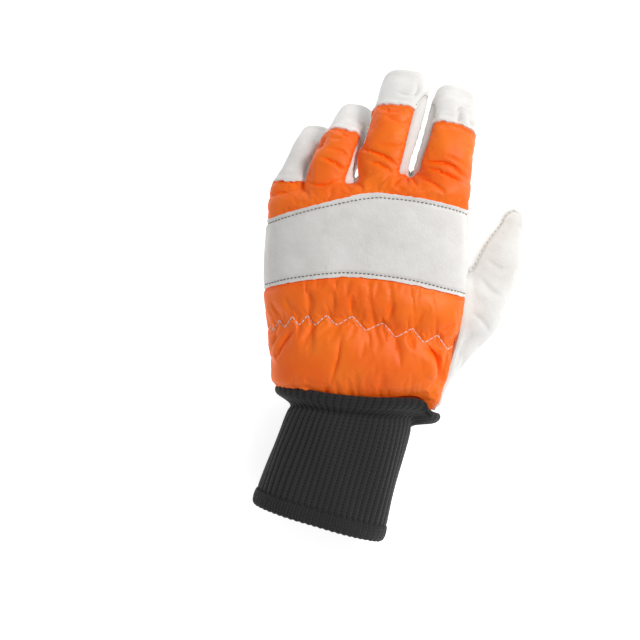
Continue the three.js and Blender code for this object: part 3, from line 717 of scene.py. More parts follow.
def gathers(points):
    """Uneven upright folds that run from the elastic and from the cuff's seam."""
    away = from_elastic(points)
    lean = points[:, 0] + 0.12 * points[:, 1]
    upright = np.column_stack([lean, 0.12 * points[:, 1], 0 * lean])
    wide = hump(noise(upright, 12.0, 61), 0.2) * hump(away, 17)
    narrow = hump(noise(upright, 6.5, 62), 0.22) * hump(away, 8)
    seam = hump(noise(upright, 6.0, 63), 0.25) * hump(points[:, 1], 9)
    return 1.1 * wide + 0.8 * narrow + 1.0 * seam


def elastic_press(points):
    """How far the elastic gathers the back in, along the middle of its zigzag."""
    away = from_elastic(points)
    stitched, _, _ = from_line(ELASTIC, points)
    return 1.5 * hump(away, 7) + 0.7 * hump(stitched, 1.1)


# Panels of the hand

# How far the fabric's lower edge rises above the wrist seam: x and height.
HEM_LINE = [
    (-70, 0.2), (-30, 0.2), (-16, 0.3), (5, 2.2), (20, 4.4), (33, 6.4), (40, 5.4), (46, 0.6), (70, 0.2),
]


def whole_skin():
    """The hand's skin as a panel with all its fields, open at the wrist."""
    points, faces = hand_skin()
    normals = point_normals(points, faces)
    for _ in range(4):
        normals = unit(normals + neighbour_mean(normals, faces))
    fields = seam_fields(points)
    names = list(fields)
    data = np.column_stack([points, normals] + [fields[n] for n in names])
    skin = Panel(data, faces, names)
    return skin.cut(skin["wrist"] + SKIN_BELOW_WRIST).largest()


def made(name, points, faces, material, wall=None, normals=None, marks=None, slot=None, sharp=40):
    """A mesh object from points in millimetres, closed by a wall set in along the normals."""
    if wall is not None:
        edges = rim(faces)
        n = len(points)
        inner = points - normals * np.broadcast_to(wall, n)[:, None]
        inner[:, 2] = np.maximum(inner[:, 2], 0.3)
        a, b = edges.T
        sides = np.vstack([np.stack([b, a, a + n], 1), np.stack([b, a + n, b + n], 1)])
        faces = np.vstack([faces, faces[:, ::-1] + n, sides])
        points = np.vstack([points, inner])
        marks = {k: np.concatenate([v, v]) for k, v in (marks or {}).items()}
    mesh = bpy.data.meshes.new(name)
    mesh.vertices.add(len(points))
    mesh.vertices.foreach_set("co", ((points + WRIST) * MM).astype(np.float32).ravel())
    width = faces.shape[1]
    mesh.loops.add(faces.size)
    mesh.loops.foreach_set("vertex_index", faces.astype(np.int32).ravel())
    mesh.polygons.add(len(faces))
    mesh.polygons.foreach_set("loop_start", np.arange(0, faces.size, width, dtype=np.int32))
    mesh.update(calc_edges=True)
    mesh.validate()
    mesh.polygons.foreach_set("use_smooth", np.ones(len(mesh.polygons), bool))
    if sharp:
        mesh.set_sharp_from_angle(angle=math.radians(sharp))
    for key, value in (marks or {}).items():
        layer = mesh.attributes.new(key, "FLOAT", "POINT")
        layer.data.foreach_set("value", value.astype(np.float32))
    mesh.materials.append(material)
    piece = bpy.data.objects.new(name + "_panel" if slot else name, mesh)
    bpy.context.scene.collection.objects.link(piece)
    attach(piece, "root")
    return piece


def on_floor(points, height=0.0):
    """Points, none of them lower than a height over the floor."""
    points = points.copy()
    points[:, 2] = np.maximum(points[:, 2], height)
    return points


# How far apart the stitches along the finger strips stand.
SCALLOP_PITCH = 2.6


def seam_scallop(panel):
    """A ripple along the finger strips, where each stitch pulls the fabric's edge in."""
    ripple = np.zeros(len(panel.data))
    for name in FINGERS:
        near_finger = panel["near_" + name] < 4
        wave = np.cos(2 * math.pi * panel["along_" + name] / SCALLOP_PITCH)
        ripple = np.where(near_finger, wave, ripple)
    return ripple


# The cloth: the share it is let out by, its pressure, the frames it settles in, the farthest that a
# point may move, and how large a millimetre is while it settles.
CLOTH_GROWTH, CLOTH_PRESSURE, CLOTH_FRAMES, CLOTH_MOVE, CLOTH_SCALE = 0.037, 4.0, 24, 3.5, 0.01


def draped(name, points, faces, pinned):
    """A panel's points once its cloth has been let out and blown up between its pinned seams."""
    mesh = bpy.data.meshes.new(name)
    mesh.from_pydata((points * CLOTH_SCALE).tolist(), [], faces.tolist())
    piece = bpy.data.objects.new(name, mesh)
    bpy.context.scene.collection.objects.link(piece)
    group = piece.vertex_groups.new(name="pin")
    group.add(np.nonzero(pinned)[0].tolist(), 1.0, "REPLACE")
    cloth = piece.modifiers.new("cloth", "CLOTH")
    cloth.collision_settings.use_collision = False
    cloth.point_cache.frame_start, cloth.point_cache.frame_end = 1, CLOTH_FRAMES
    how = cloth.settings
    how.vertex_group_mass = "pin"
    how.quality, how.mass = 5, 0.1
    how.tension_stiffness, how.compression_stiffness = 15, 15
    how.shear_stiffness, how.bending_stiffness = 5, 0.6
    how.shrink_min = -CLOTH_GROWTH
    how.use_pressure, how.uniform_pressure_force = True, CLOTH_PRESSURE
    how.effector_weights.gravity = 0
    for frame_number in range(1, CLOTH_FRAMES + 1):
        bpy.context.scene.frame_set(frame_number)
    done = piece.evaluated_get(bpy.context.evaluated_depsgraph_get()).to_mesh()
    moved = np.empty(len(points) * 3, np.float32)
    done.vertices.foreach_get("co", moved)
    bpy.data.objects.remove(piece)
    bpy.data.meshes.remove(mesh)
    bpy.context.scene.frame_set(1)
    move = moved.reshape(-1, 3) / CLOTH_SCALE - points
    far = np.linalg.norm(move, axis=1, keepdims=True)
    return points + move * np.minimum(1, CLOTH_MOVE / np.maximum(far, 1e-6))


# How high the padding stands, how far a seam pulls it in, how far each stitch beside a finger does,
# how far the fabric dives at the hem, and how far it runs under a cap.
PUFF, SEAM_PULL, SCALLOP, HEM_TUCK, UNDER_CAP = 2.6, 1.0, 0.28, 2.2, 2.4


def back_panels(skin, materials):
    """The two padded panels of the back, from the fingers to the band and from it to the cuff."""
    back = skin.cut(skin["back"])
    back = back.cut(back["wrist"] + SKIN_BELOW_WRIST - line_height(HEM_LINE, back.points[:, 0]))
    for finger in FINGERS:
        back = back.cut(UNDER_CAP - back["cap_" + finger])
    sewn_panels = []
    middle = (back["band_top"] - back["band_bottom"]) / 2
    for name, field in (("upper", -middle), ("lower", middle)):
        panel = back.cut(field).largest()
        points = panel.points
        seam = near(points, side_rim(panel))
        under_band = np.minimum(panel["band_top"], panel["band_bottom"])
        band_edge = np.abs(panel["band_top" if name == "upper" else "band_bottom"])
        cap_edge = np.min([np.abs(panel["cap_" + f]) for f in FINGERS], axis=0)
        rounding = 5.0 if name == "upper" else 8.0
        inward = smooth_min(seam, smooth_min(band_edge + 1.5, cap_edge + 1.5, 3), 3)
        puff = PUFF * (1 - np.exp(-np.maximum(inward, 0) / rounding))
        puff = puff - SEAM_PULL * hump(seam, 1.4)
        puff -= SCALLOP * seam_scallop(panel) * hump(seam, 1.8)
        above_hem = panel["wrist"] - line_height(HEM_LINE, points[:, 0])
        puff -= HEM_TUCK * smoothstep(-above_hem, -5.0, 0.5)
        puff = np.where(under_band > 0, puff + (-0.5 - puff) * smoothstep(under_band, 0, 1.5), puff)
        free = smoothstep(-under_band, -0.5, 2.5)
        facing = smoothstep(panel.normals[:, 2], 0.0, 0.4)
        puff -= (folded(points, FOLDS) + gathers(points) + elastic_press(points)) * facing * free
        puff += 0.35 * noise(points, 16, 3) * free + 0.12 * noise(points, 6, 4) * free
        moved = points + panel.normals * puff[:, None]
        stitched, _, _ = from_line(ELASTIC, points)
        sewn = (seam < 0.9) | (under_band > -0.3) | (cap_edge < 0.9) | (above_hem < 0.5)
        moved = draped(name + "_cloth", moved, panel.faces, sewn | (stitched < 0.6))
        moved = on_floor(moved)
        # The seam mark carries painted shade into the fabric's colour along the panel's pulled-in seams.
        piece = made(
            "back_fabric_" + name, moved, panel.faces, materials["fabric"], PADDING, panel.normals,
            dict(seam=np.exp(-seam / 1.6)), "padded_fabric",
        )
        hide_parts("back_fabric_" + name)
        sewn_panels.append((moved, panel))
    return sewn_panels


def side_rim(panel):
    """The points of a panel's rim that aren't under the middle of the band."""
    edge = np.unique(rim(panel.faces))
    middle = np.abs(panel["band_top"] - panel["band_bottom"])[edge] < 2
    return panel.points[edge[~middle]]


def leather_relief(points, normals):
    """Soft unevenness and small creases of the leather."""
    under = smoothstep(-normals[:, 2], 0.0, 0.4)
    over = smoothstep(normals[:, 2], 0.0, 0.4)
    relief = 0.45 * noise(points, 19, 11) + 0.16 * noise(points, 7, 12) + 0.06 * noise(points, 2.6, 13)
    return relief - folded(points, PALM_FOLDS) * under - folded(points, LEATHER_FOLDS) * over


# How far a seam draws the leather in, how far the leather dives at the wrist, and how far the walls
# between the fingers are crimped.
LEATHER_PULL, LEATHER_TUCK, CRIMP = 0.9, 1.4, 0.22


def leather_panel(panel, name, materials, crimp=0.0):
    """A leather panel, drawn in along its seams, and its points."""
    points, normals = panel.points, panel.normals
    seam = panel.rim_distance()
    rise = leather_relief(points, normals) * smoothstep(seam, 0, 5)
    rise -= LEATHER_PULL * hump(seam, 1.5)
    rise -= LEATHER_TUCK * smoothstep(-panel["wrist"], -4.0, 0.5)
    if crimp:
        for finger in FINGERS:
            along = panel["along_" + finger]
            ripple = noise(np.column_stack([along, 0.12 * points[:, 0], 0 * along]), 1.5, 21)
            rise += np.where(panel["near_" + finger] < 4, crimp * ripple, 0) * smoothstep(seam, 0.5, 3)
    moved = on_floor(points + normals * rise[:, None])
    # The seam mark paints shade into the leather's colour along the panel's rim, where it is drawn in.
    piece = made(name, moved, panel.faces, materials["leather"], LEATHER, normals,
                 dict(seam=np.exp(-seam / 1.2)), "leather")
    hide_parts(name)
    return moved


def leather_panels(skin, materials):
    """The thumb, its gusset, the walls between the fingers and the palm. Gives the gusset back."""
    front = skin.cut(-skin["back"])
    thumb_side = front.cut(front["thumb"])
    hand_side = front.cut(-front["thumb"])
    leather_panel(thumb_side.cut(-thumb_side["web"]).largest(), "thumb_leather", materials)
    gusset = thumb_side.cut(thumb_side["web"]).largest()
    gusset_points = leather_panel(gusset, "thumb_gusset", materials)
    names = list(FINGERS)
    rest = hand_side
    for left, right in zip(names, names[1:]):
        wall = f"wall_{left}_{right}"
        between_fingers = hand_side.cut(hand_side[wall]).largest()
        leather_panel(between_fingers, "side_" + wall, materials, CRIMP)
        rest = rest.cut(-rest[wall])
    leather_panel(rest.largest(), "palm_leather", materials)
    return gusset_points, gusset


# How high the laid pieces stand, how deep their stitching dents them, and how far inside the band's
# edges its stitching runs.
CAP_LIFT, BAND_LIFT, PATCH_LIFT = 2.1, 1.75, 1.8
CAP_DENT, BAND_DENT, PATCH_DENT = 0.45, 0.85, 0.35
BAND_INSET = 2.3


def caps(skin, materials):
    """The leather caps on the fingertips, laid over the fabric with a raw cut edge."""
    found = {}
    back = skin.cut(skin["back"])
    for finger in FINGERS:
        cap = "cap_" + finger
        ragged = 0.5 * noise(back.points, 1.6, 31) + 0.4 * noise(back.points, 4.5, 32)
        panel = back.cut(back[cap] + ragged).largest()
        points, normals = panel.points, panel.normals
        seam = panel.rim_distance()
        edge = np.maximum(panel[cap], 0)
        is_edge = hump(edge, 3.2)
        rise = leather_relief(points, normals) * smoothstep(seam, 0, 4)
        rise -= LEATHER_PULL * hump(seam, 1.5) * (1 - is_edge)
        lifted = is_edge * (0.35 + 0.65 * smoothstep(panel["back"], 0, 4))
        rise += CAP_LIFT * lifted - CAP_DENT * hump(edge - 2.4, 0.9)
        moved = on_floor(points + normals * rise[:, None])
        # The seam mark paints shade along the cap's sewn sides, not along its raw cut edge.
        marks = dict(seam=np.exp(-seam / 1.0) * (1 - is_edge))
        piece = made(finger + "_cap", moved, panel.faces, materials["leather"], CAP_LEATHER, normals,
                     marks, "leather", sharp=35)
        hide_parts(finger + "_cap")
        found[finger] = (moved, panel)
    return found


def band(skin, materials):
    """The leather band over the knuckles, stitched near its long edges."""
    back = skin.cut(skin["back"] - 0.6)
    panel = back.cut(back["band_top"] + 0.35 * noise(back.points, 2.2, 43))
    panel = panel.cut(panel["band_bottom"] + 0.35 * noise(panel.points, 2.2, 44)).largest()
    points, normals = panel.points, panel.normals
    edge = np.minimum(panel["band_top"], panel["band_bottom"])
    side = panel["back"]
    rise = BAND_LIFT + 0.35 * noise(points, 15, 41) + 0.12 * noise(points, 5, 42)
    rise -= BAND_DENT * hump(edge - BAND_INSET, 0.9)
    rise -= 1.3 * hump(side, 2.0)
    moved = points + normals * rise[:, None]
    # Painted shade: the seam mark greys the band along the dent of its stitching.
    seam = np.exp(-np.abs(edge - BAND_INSET) / 0.7)
    piece = made("knuckle_band", moved, panel.faces, materials["leather"], LAID_LEATHER, normals,
                 dict(seam=0.35 * seam), "leather", sharp=35)
    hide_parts("knuckle_band")
    return moved, panel


def patch(skin, materials):
    """The leather patch across the palm, up over the little finger's side."""
    outline = [(-75, 78), (-40, 79), (22.6, 80.4), (22.6, 118), (-40, 117.5), (-75, 117)]
    under = skin.cut(skin["under"] - 3)
    panel = under.cut(inside_plan(outline, under.points)).largest()
    points, normals = panel.points, panel.normals
    edge = panel.rim_distance()
    rise = PATCH_LIFT + 0.3 * noise(points, 15, 51) + 0.1 * noise(points, 5, 52)
    rise -= PATCH_DENT * hump(edge - 2.5, 1.2)
    rise *= 0.3 + 0.7 * smoothstep(panel["under"], 3, 11)
    moved = on_floor(points + normals * rise[:, None], 0.05)
    piece = made("palm_patch", moved, panel.faces, materials["leather"], LAID_LEATHER, normals,
                 dict(seam=0 * edge), "leather", sharp=35)
    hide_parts("palm_patch")
    return moved, panel


# The knitted cuff

# How many ribs, how deep their grooves are, and in how many steps each is drawn.
RIBS, RIB_DEPTH, RIB_STEPS = 56, 0.7, 8
# How far below the wrist seam the roll ends, and how far it stands to the right of the cuff's line.
ROLL_HEIGHT, ROLL_SHIFT = 9.0, 1.2
# The profile's share at which the tube has its own size.
TUBE_SHARE = 0.93


def cuff_frames(distance):
    """Frames of the cuff at distances below the wrist seam, turning from the seam's plane."""
    size = [CUFF_LENGTH, CUFF_LENGTH, CUFF_THICKNESS]
    rows = np.array([(*(np.array(r) * size), CUFF_WIDTH, CUFF_THICKNESS, 0, 0) for r in CUFF_ROWS[::-1]])
    tube = Limb(rows, BODY_POWER, 0, CUFF_LENGTH)
    f = tube.frames(1 - distance / CUFF_LENGTH)
    seam = BODY.frames(np.zeros(1))
    own = smoothstep(distance, ROLL_HEIGHT, 0.7 * CUFF_LENGTH)[:, None]
    across = unit(seam["a"] * (1 - own) + f["a"] * own)
    up = unit(seam["u"] * (1 - own) + f["u"] * own)
    return f["c"], across, up


# Distances below the wrist seam, and the cuff's size there as a share of the seam's or the tube's.
CUFF_PROFILE = [
    (-9.0, 0.84), (-5.0, 0.87), (-2.5, 0.91), (-0.8, 0.955), (0.6, 0.99), (2.5, 1.005), (4.5, 0.995),
    (6.4, 0.96), (7.9, 0.905), (9.0, 0.85), (10.2, 0.82), (11.6, 0.83), (14.0, 0.86), (20.0, 0.875),
    (40.0, 0.9), (58.0, 0.925), (65.6, 0.935), (66.4, 0.922), (67.4, 0.95), (71.0, 0.96),
    (74.4, 0.952), (75.4, 0.94), (76.0, 0.915),
]


def squarish(turn):
    """Points of a rounded oblong of half size 1 at angles of turn."""
    c, s = np.cos(turn), np.sin(turn)
    return np.stack([np.sign(c) * np.abs(c) ** 0.8, np.sign(s) * np.abs(s) ** 0.8], 1)


def even_turns(shares, half):
    """Angles that stand at even distances along a rounded oblong of a half size."""
    turn = np.linspace(-0.5 * math.pi, 1.5 * math.pi, 4001)
    steps = np.linalg.norm(np.diff(squarish(turn) * half, axis=0), axis=1)
    run = np.concatenate([[0], np.cumsum(steps)])
    return np.interp(shares * run[-1], run, turn)


def cuff(materials):
    """The ribbed cuff: a roll under the hand, a tube and a turned hem, open at both ends."""
    steps = [np.arange(-9, 13, 0.55), np.arange(13, 65, 0.9), np.arange(65, 76, 0.5), [76.0]]
    distance = np.concatenate(steps)
    table = np.array(CUFF_PROFILE)
    swell = np.interp(distance, table[:, 0], table[:, 1])
    for _ in range(2):
        swell[1:-1] = 0.25 * swell[:-2] + 0.5 * swell[1:-1] + 0.25 * swell[2:]
    seam = BODY.frames(np.zeros(1))
    at_seam = np.array([seam["w"][0], seam["h"][0]])
    tube = np.array([CUFF_WIDTH / 2, CUFF_THICKNESS / 2])
    own = smoothstep(distance, 6, 13)[:, None]
    half = (at_seam * (1 - own) + (tube / TUBE_SHARE) * own) * swell[:, None]
    count = RIBS * RIB_STEPS
    share = np.arange(count) / count
    phase = share * RIBS
    turn = even_turns(share, tube)
    centre, across, up = cuff_frames(distance)
    hem = smoothstep(distance, 66, 67.2)[:, None]
    roll = (1 - smoothstep(distance, 7, 10))[:, None]
    groove = (0.5 + 0.5 * np.cos(2 * math.pi * phase)) ** 3
    fine = (0.5 + 0.5 * np.cos(4 * math.pi * phase)) ** 2
    cut = groove * (1 - 0.75 * hem) + 0.55 * fine * hem
    depth = RIB_DEPTH * (1 - 0.35 * roll) * cut
    shape = squarish(turn)
    centre = centre + ROLL_SHIFT * roll * across
    wave = 0.35 * np.sin(phase[None, :] * 0.7 + distance[:, None] * 0.09)
    wave = wave + 0.5 * np.sin(phase[None, :] * 0.31 + 2.0) * roll
    size = half[:, None, :] - (depth + wave)[:, :, None]

    def ring(size, rows):
        """Rings of points, the roll lifted over the back where the fabric's edge rises."""
        x = centre[rows, None, 0] + across[rows, None, 0] * size[:, :, 0] * shape[None, :, 0]
        lift = line_height(HEM_LINE, x) * smoothstep(shape[:, 1], -0.1, 0.5) - 0.055 * x
        lift = lift * (1 - smoothstep(distance[rows], 9, 32))[:, None]
        scallop = 0.45 * (0.5 - 0.5 * np.cos(2 * math.pi * phase))
        end = scallop * smoothstep(distance[rows], 73, 76)[:, None]
        along = unit(np.cross(up, across))[rows, None] * (end - lift)[:, :, None]
        out = across[rows, None] * (size[:, :, :1] * shape[None, :, :1])
        return centre[rows, None] + out + up[rows, None] * (size[:, :, 1:] * shape[None, :, 1:]) - along

    rows = np.arange(len(distance))
    inner_rows = rows[::-3]
    inner_half = half[inner_rows, None, :] - (KNIT - 0.5 * groove)[None, :, None]
    every = np.vstack([ring(size, rows).reshape(-1, 3), ring(inner_half, inner_rows).reshape(-1, 3)])
    total = len(rows) + len(inner_rows)
    r, i = np.meshgrid(np.arange(total), np.arange(count), indexing="ij")
    nxt_r, nxt_i = (r + 1) % total, (i + 1) % count
    quads = np.stack([r * count + i, nxt_r * count + i, nxt_r * count + nxt_i, r * count + nxt_i], -1)
    quads = quads.reshape(-1, 4)
    along = np.concatenate([distance, distance[inner_rows]])
    # Painted shade for the knit's colour: in the crease under the roll, in the fold of the hem and under
    # the roll at the wrist.
    painted_tuck_shade = hump(along - 10.0, 1.8) + 0.7 * hump(along - 66.4, 0.9)
    painted_tuck_shade = painted_tuck_shade + 0.35 * (1 - smoothstep(along, 5, 9))
    marks = dict(rib=np.tile(phase, total))
    for mark, values in (("along", along), ("painted_tuck_shade", painted_tuck_shade), ("hem", smoothstep(along, 66, 67.2))):
        marks[mark] = np.repeat(values, count)
    piece = made("knit_cuff", on_floor(every, 0.0), quads, materials["knit"], marks=marks,
                 slot="rib_knit", sharp=None)
    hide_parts("knit_cuff")


# Stitching

def capsule(sides=6):
    """A short bowed stitch along x from -0.5 to 0.5, with unit thickness across."""
    # Each ring: x, radius and lift.
    rings = [
        (-0.5, 0.35, 0.0), (-0.42, 0.85, 0.25), (0.0, 1.0, 0.8), (0.42, 0.85, 0.25), (0.5, 0.35, 0.0),
    ]
    turn = 2 * math.pi * np.arange(sides) / sides
    points = [(x, r * math.cos(a), lift + r * math.sin(a)) for x, r, lift in rings for a in turn]
    faces = []
    for k in range(len(rings) - 1):
        for i in range(sides):
            j = (i + 1) % sides
            faces.append((k * sides + i, k * sides + j, (k + 1) * sides + j, (k + 1) * sides + i))
    corners = [t for q in faces for t in (q[:3], (q[0], q[2], q[3]))]
    for k, order in ((0, -1), (len(rings) - 1, 1)):
        ring = [k * sides + i for i in range(sides)][::order]
        corners += [(ring[0], ring[i], ring[i + 1]) for i in range(1, sides - 1)]
    return np.array(points), np.array(corners)


class Surface:
    """Pieces to sew on, found from above, below or the nearest point."""

    def __init__(self, parts):
        points, faces, start = [], [], 0
        for p, f in parts:
            points.append(p)
            faces.append(f + start)
            start += len(p)
        self.tree = BVHTree.FromPolygons(np.vstack(points).tolist(), np.vstack(faces).tolist())

    def from_side(self, x, y, way):
        hit, normal, _, _ = self.tree.ray_cast(Vector((x, y, 90 * way)), Vector((0, 0, -way)))
        return (np.array(hit), np.array(normal) * (1 if normal.z * way > 0 else -1)) if hit else None

    def nearest(self, point, outward):
        hit, normal, _, _ = self.tree.find_nearest(Vector(point))
        normal = np.array(normal)
        return np.array(hit), normal * (1 if normal @ outward > 0 else -1)


def length_along(line):
    """The length run at each point of a line."""
    return np.concatenate([[0], np.cumsum(np.linalg.norm(np.diff(line, axis=0), axis=1))])


def at_places(places, run, line):
    """A line's points at lengths along it."""
    return np.stack([np.interp(places, run, line[:, i]) for i in range(line.shape[1])], -1)


def resampled(line, pitch):
    """Points along a line, evenly at about a pitch."""
    line = np.array(line, float)
    run = length_along(line)
    places = np.linspace(0, run[-1], max(2, int(run[-1] / pitch) + 1))
    return at_places(places, run, line)


# A stitch's length, the gap after it and its thickness.
STITCHES = {
    "elastic_stitching": (2.6, 0.5, 0.34),
    "band_stitching": (1.5, 0.9, 0.32),
    "patch_stitching": (1.3, 1.6, 0.32),
    "fingertip_stitching": (1.5, 1.5, 0.24),
    "thumb_stitching": (1.5, 1.5, 0.24),
}
# Where the patch's rows of stitching run, as shares of its width.
PATCH_ROWS = (0.07, 0.14, 0.46, 0.53, 0.86, 0.93)


def stitches(name, rows, material):
    """One mesh of stitches along rows of surface points and normals."""
    length, gap, thick = STITCHES[name]
    base, base_faces = capsule()
    points, faces = [], []
    for row in rows:
        path, normals = (np.array(x) for x in row)
        run = length_along(path)
        count = max(1, int(round(run[-1] / (length + gap))))
        pitch = run[-1] / count
        half_gap = 0.5 * gap * pitch / (length + gap)
        for k in range(count):
            ends = (k * pitch + half_gap, (k + 1) * pitch - half_gap)
            a, b = (at_places(e, run, path) for e in ends)
            normal = unit(at_places(sum(ends) / 2, run, normals))
            along = unit(b - a)
            normal = unit(normal - along * (normal @ along))
            across = np.cross(normal, along)
            size = np.linalg.norm(b - a)
            centre = (a + b) / 2 - 0.05 * normal
            lying = base[:, :1] * size * along + base[:, 1:2] * thick * across
            points.append(centre + lying + base[:, 2:] * thick * normal)
            faces.append(base_faces + len(base) * (len(points) - 1))
    made(name, on_floor(np.vstack(points), 0.02), np.vstack(faces), material, sharp=None)


def sewn_from(surface, line, way=1, pitch=0.8):
    """A row of surface points and normals over a line in plan."""
    found = [surface.from_side(x, y, way) for x, y in resampled(line, pitch)]
    found = [f for f in found if f]
    return [f[0] for f in found], [f[1] for f in found]


def rim_rows(panel, moved, keep, inset, pitch=0.9):
    """Rows of points just inside a panel's rim, along the stretches that are kept."""
    edges = rim(panel.faces)
    after = {int(a): int(b) for a, b in edges}
    rows, left = [], {a for a in after if keep[a] and keep[after[a]]}
    starts = [a for a in sorted(left) if not any(after.get(b) == a for b in left)] or sorted(left)[:1]
    for start in starts:
        row, here = [], start
        while here in left:
            left.discard(here)
            row.append(here)
            here = after.get(here, -1)
        if len(row) < 4:
            continue
        path = moved[row]
        for _ in range(24):
            path[1:-1] = (path[:-2] + 2 * path[1:-1] + path[2:]) / 4
        ahead = unit(np.gradient(path, axis=0))
        normals = unit(panel.normals[row])
        inward = np.cross(normals, ahead)
        rows.append((path + inset * inward, normals))
    return rows


def sewn_near(surface, rows, pitch=0.9):
    """Rows of points set down on the nearest surface."""
    found = []
    for path, normals in rows:
        both = resampled(np.hstack([path, normals]), pitch)
        hits = [surface.nearest(p[:3], p[3:6]) for p in both]
        found.append(([h[0] for h in hits], [h[1] for h in hits]))
    return found


# Materials

class Shader:
    """A material whose nodes are added one by one."""

    def __init__(self, name, **surface):
        self.material = bpy.data.materials.new(name)
        self.material.use_nodes = True
        self.tree = self.material.node_tree
        self.surface = self.tree.nodes["Principled BSDF"]
        for key, value in surface.items():
            self.surface.inputs[key.replace("_", " ")].default_value = value

    def add(self, kind, inputs=None, **settings):
        node = self.tree.nodes.new(kind)
        for key, value in settings.items():
            setattr(node, key, value)
        for key, value in (inputs or {}).items():
            self.link(value, node.inputs[key])
        return node

    def link(self, value, socket):
        if isinstance(value, bpy.types.NodeSocket):
            self.tree.links.new(value, socket)
        else:
            socket.default_value = value

    def place(self):
        return self.add("ShaderNodeTexCoord").outputs["Object"]

    def noise(self, scale, detail=3.0, rough=0.5, distortion=0.0):
        inputs = dict(Vector=self.place(), Scale=scale, Detail=detail, Roughness=rough)
        inputs["Distortion"] = distortion
        return self.add("ShaderNodeTexNoise", inputs).outputs["Fac"]

    def cells(self, scale):
        node = self.add("ShaderNodeTexVoronoi", dict(Vector=self.place(), Scale=scale))
        return node.outputs["Distance"]

    def value(self, name):
        return self.add("ShaderNodeAttribute", attribute_name=name).outputs["Fac"]

    def math(self, operation, a, b=0.0, clamp=False):
        node = self.add("ShaderNodeMath", {0: a, 1: b}, operation=operation, use_clamp=clamp)
        return node.outputs[0]

    def ramp(self, value, low, high):
        node = self.add("ShaderNodeMapRange", {"Value": value, "From Min": low, "From Max": high})
        return node.outputs["Result"]

    def blend(self, share, a, b):
        node = self.add("ShaderNodeMix", data_type="RGBA")
        self.link(share, node.inputs[0])
        self.link(a, node.inputs[6])
        self.link(b, node.inputs[7])
        return node.outputs[2]

    def bump(self, height, distance, strength=1.0, under=None):
        inputs = dict(Height=height, Distance=distance, Strength=strength)
        if under is not None:
            inputs["Normal"] = under
        return self.add("ShaderNodeBump", inputs).outputs["Normal"]

    def finish(self, colour=None, roughness=None, normal=None):
        if colour is not None:
            self.link(colour, self.surface.inputs["Base Color"])
        if roughness is not None:
            self.link(roughness, self.surface.inputs["Roughness"])
        if normal is not None:
            self.link(normal, self.surface.inputs["Normal"])
        return self.material


def rgb(code):
    """A colour written as in a web page, as linear values."""
    parts = [int(code[i:i + 2], 16) / 255 for i in (0, 2, 4)]
    return (*[(c / 12.92 if c <= 0.04045 else ((c + 0.055) / 1.055) ** 2.4) for c in parts], 1.0)


def leather_material():
    """Pale leather with fine grain, creases and faint stains, and painted shade along its seams."""
    s = Shader("goat_leather", Specular_IOR_Level=0.35, Sheen_Weight=0.08)
    mottle = s.ramp(s.noise(70, 4, 0.6), 0.35, 0.68)
    colour = s.blend(mottle, rgb("ECEAE7"), rgb("F5F4F2"))
    stain = s.ramp(s.noise(28, 3, 0.55), 0.5, 0.75)
    colour = s.blend(s.math("MULTIPLY", stain, 0.14), colour, rgb("DAD4CC"))
    # Painted shade: the seam mark darkens the leather towards grey where it is drawn in along seams and
    # stitching.
    colour = s.blend(s.math("MULTIPLY", s.value("seam"), 0.36), colour, rgb("A8A099"))
    creases = s.noise(330, 8, 0.62, 0.6)
    grain = s.math("ADD", s.cells(1500), s.math("MULTIPLY", s.cells(900), 0.6))
    long_creases = s.noise(120, 6, 0.6, 1.2)
    normal = s.bump(long_creases, 0.001, 0.3)
    normal = s.bump(creases, 0.0005, 0.4, normal)
    normal = s.bump(grain, 0.0002, 0.35, normal)
    roughness = s.ramp(s.noise(160, 4), 0.2, 0.8)
    return s.finish(colour, s.ramp(roughness, -1.2, 2.2), normal)


def fabric_material():
    """Bright woven nylon with a little painted glow that lifts its shade, and painted shade along its
    seams.
    """
    s = Shader("padded_nylon", Specular_IOR_Level=0.42, Sheen_Weight=0.02, Sheen_Roughness=0.4)
    s.surface.inputs["Sheen Tint"].default_value = rgb("FFC08A")
    # Painted light: the emission is a glow that keeps the nylon bright and deep orange in its shade.
    s.surface.inputs["Emission Color"].default_value = rgb("FF5000")
    s.surface.inputs["Emission Strength"].default_value = 0.11
    mottle = s.ramp(s.noise(45, 3, 0.5), 0.3, 0.7)
    colour = s.blend(mottle, rgb("FA6906"), rgb("FF7D12"))
    # Painted shade: the seam mark deepens the orange towards red in the valleys along the seams.
    colour = s.blend(s.math("MULTIPLY", s.value("seam"), 0.5), colour, rgb("D83F02"))
    place = s.place()
    waves = dict(Vector=place, Scale=520.0, Distortion=0.6, Detail=1.0)
    weave = [
        s.add("ShaderNodeTexWave", waves, bands_direction=d).outputs["Fac"] for d in ("X", "Y")
    ]
    cloth = s.math("MULTIPLY", weave[0], weave[1])
    crinkle = s.noise(190, 5, 0.6, 0.3)
    normal = s.bump(crinkle, 0.0005, 0.35)
    normal = s.bump(cloth, 0.00006, 0.5, normal)
    roughness = s.ramp(s.noise(230, 3), -1.6, 2.4)
    return s.finish(colour, roughness, normal)


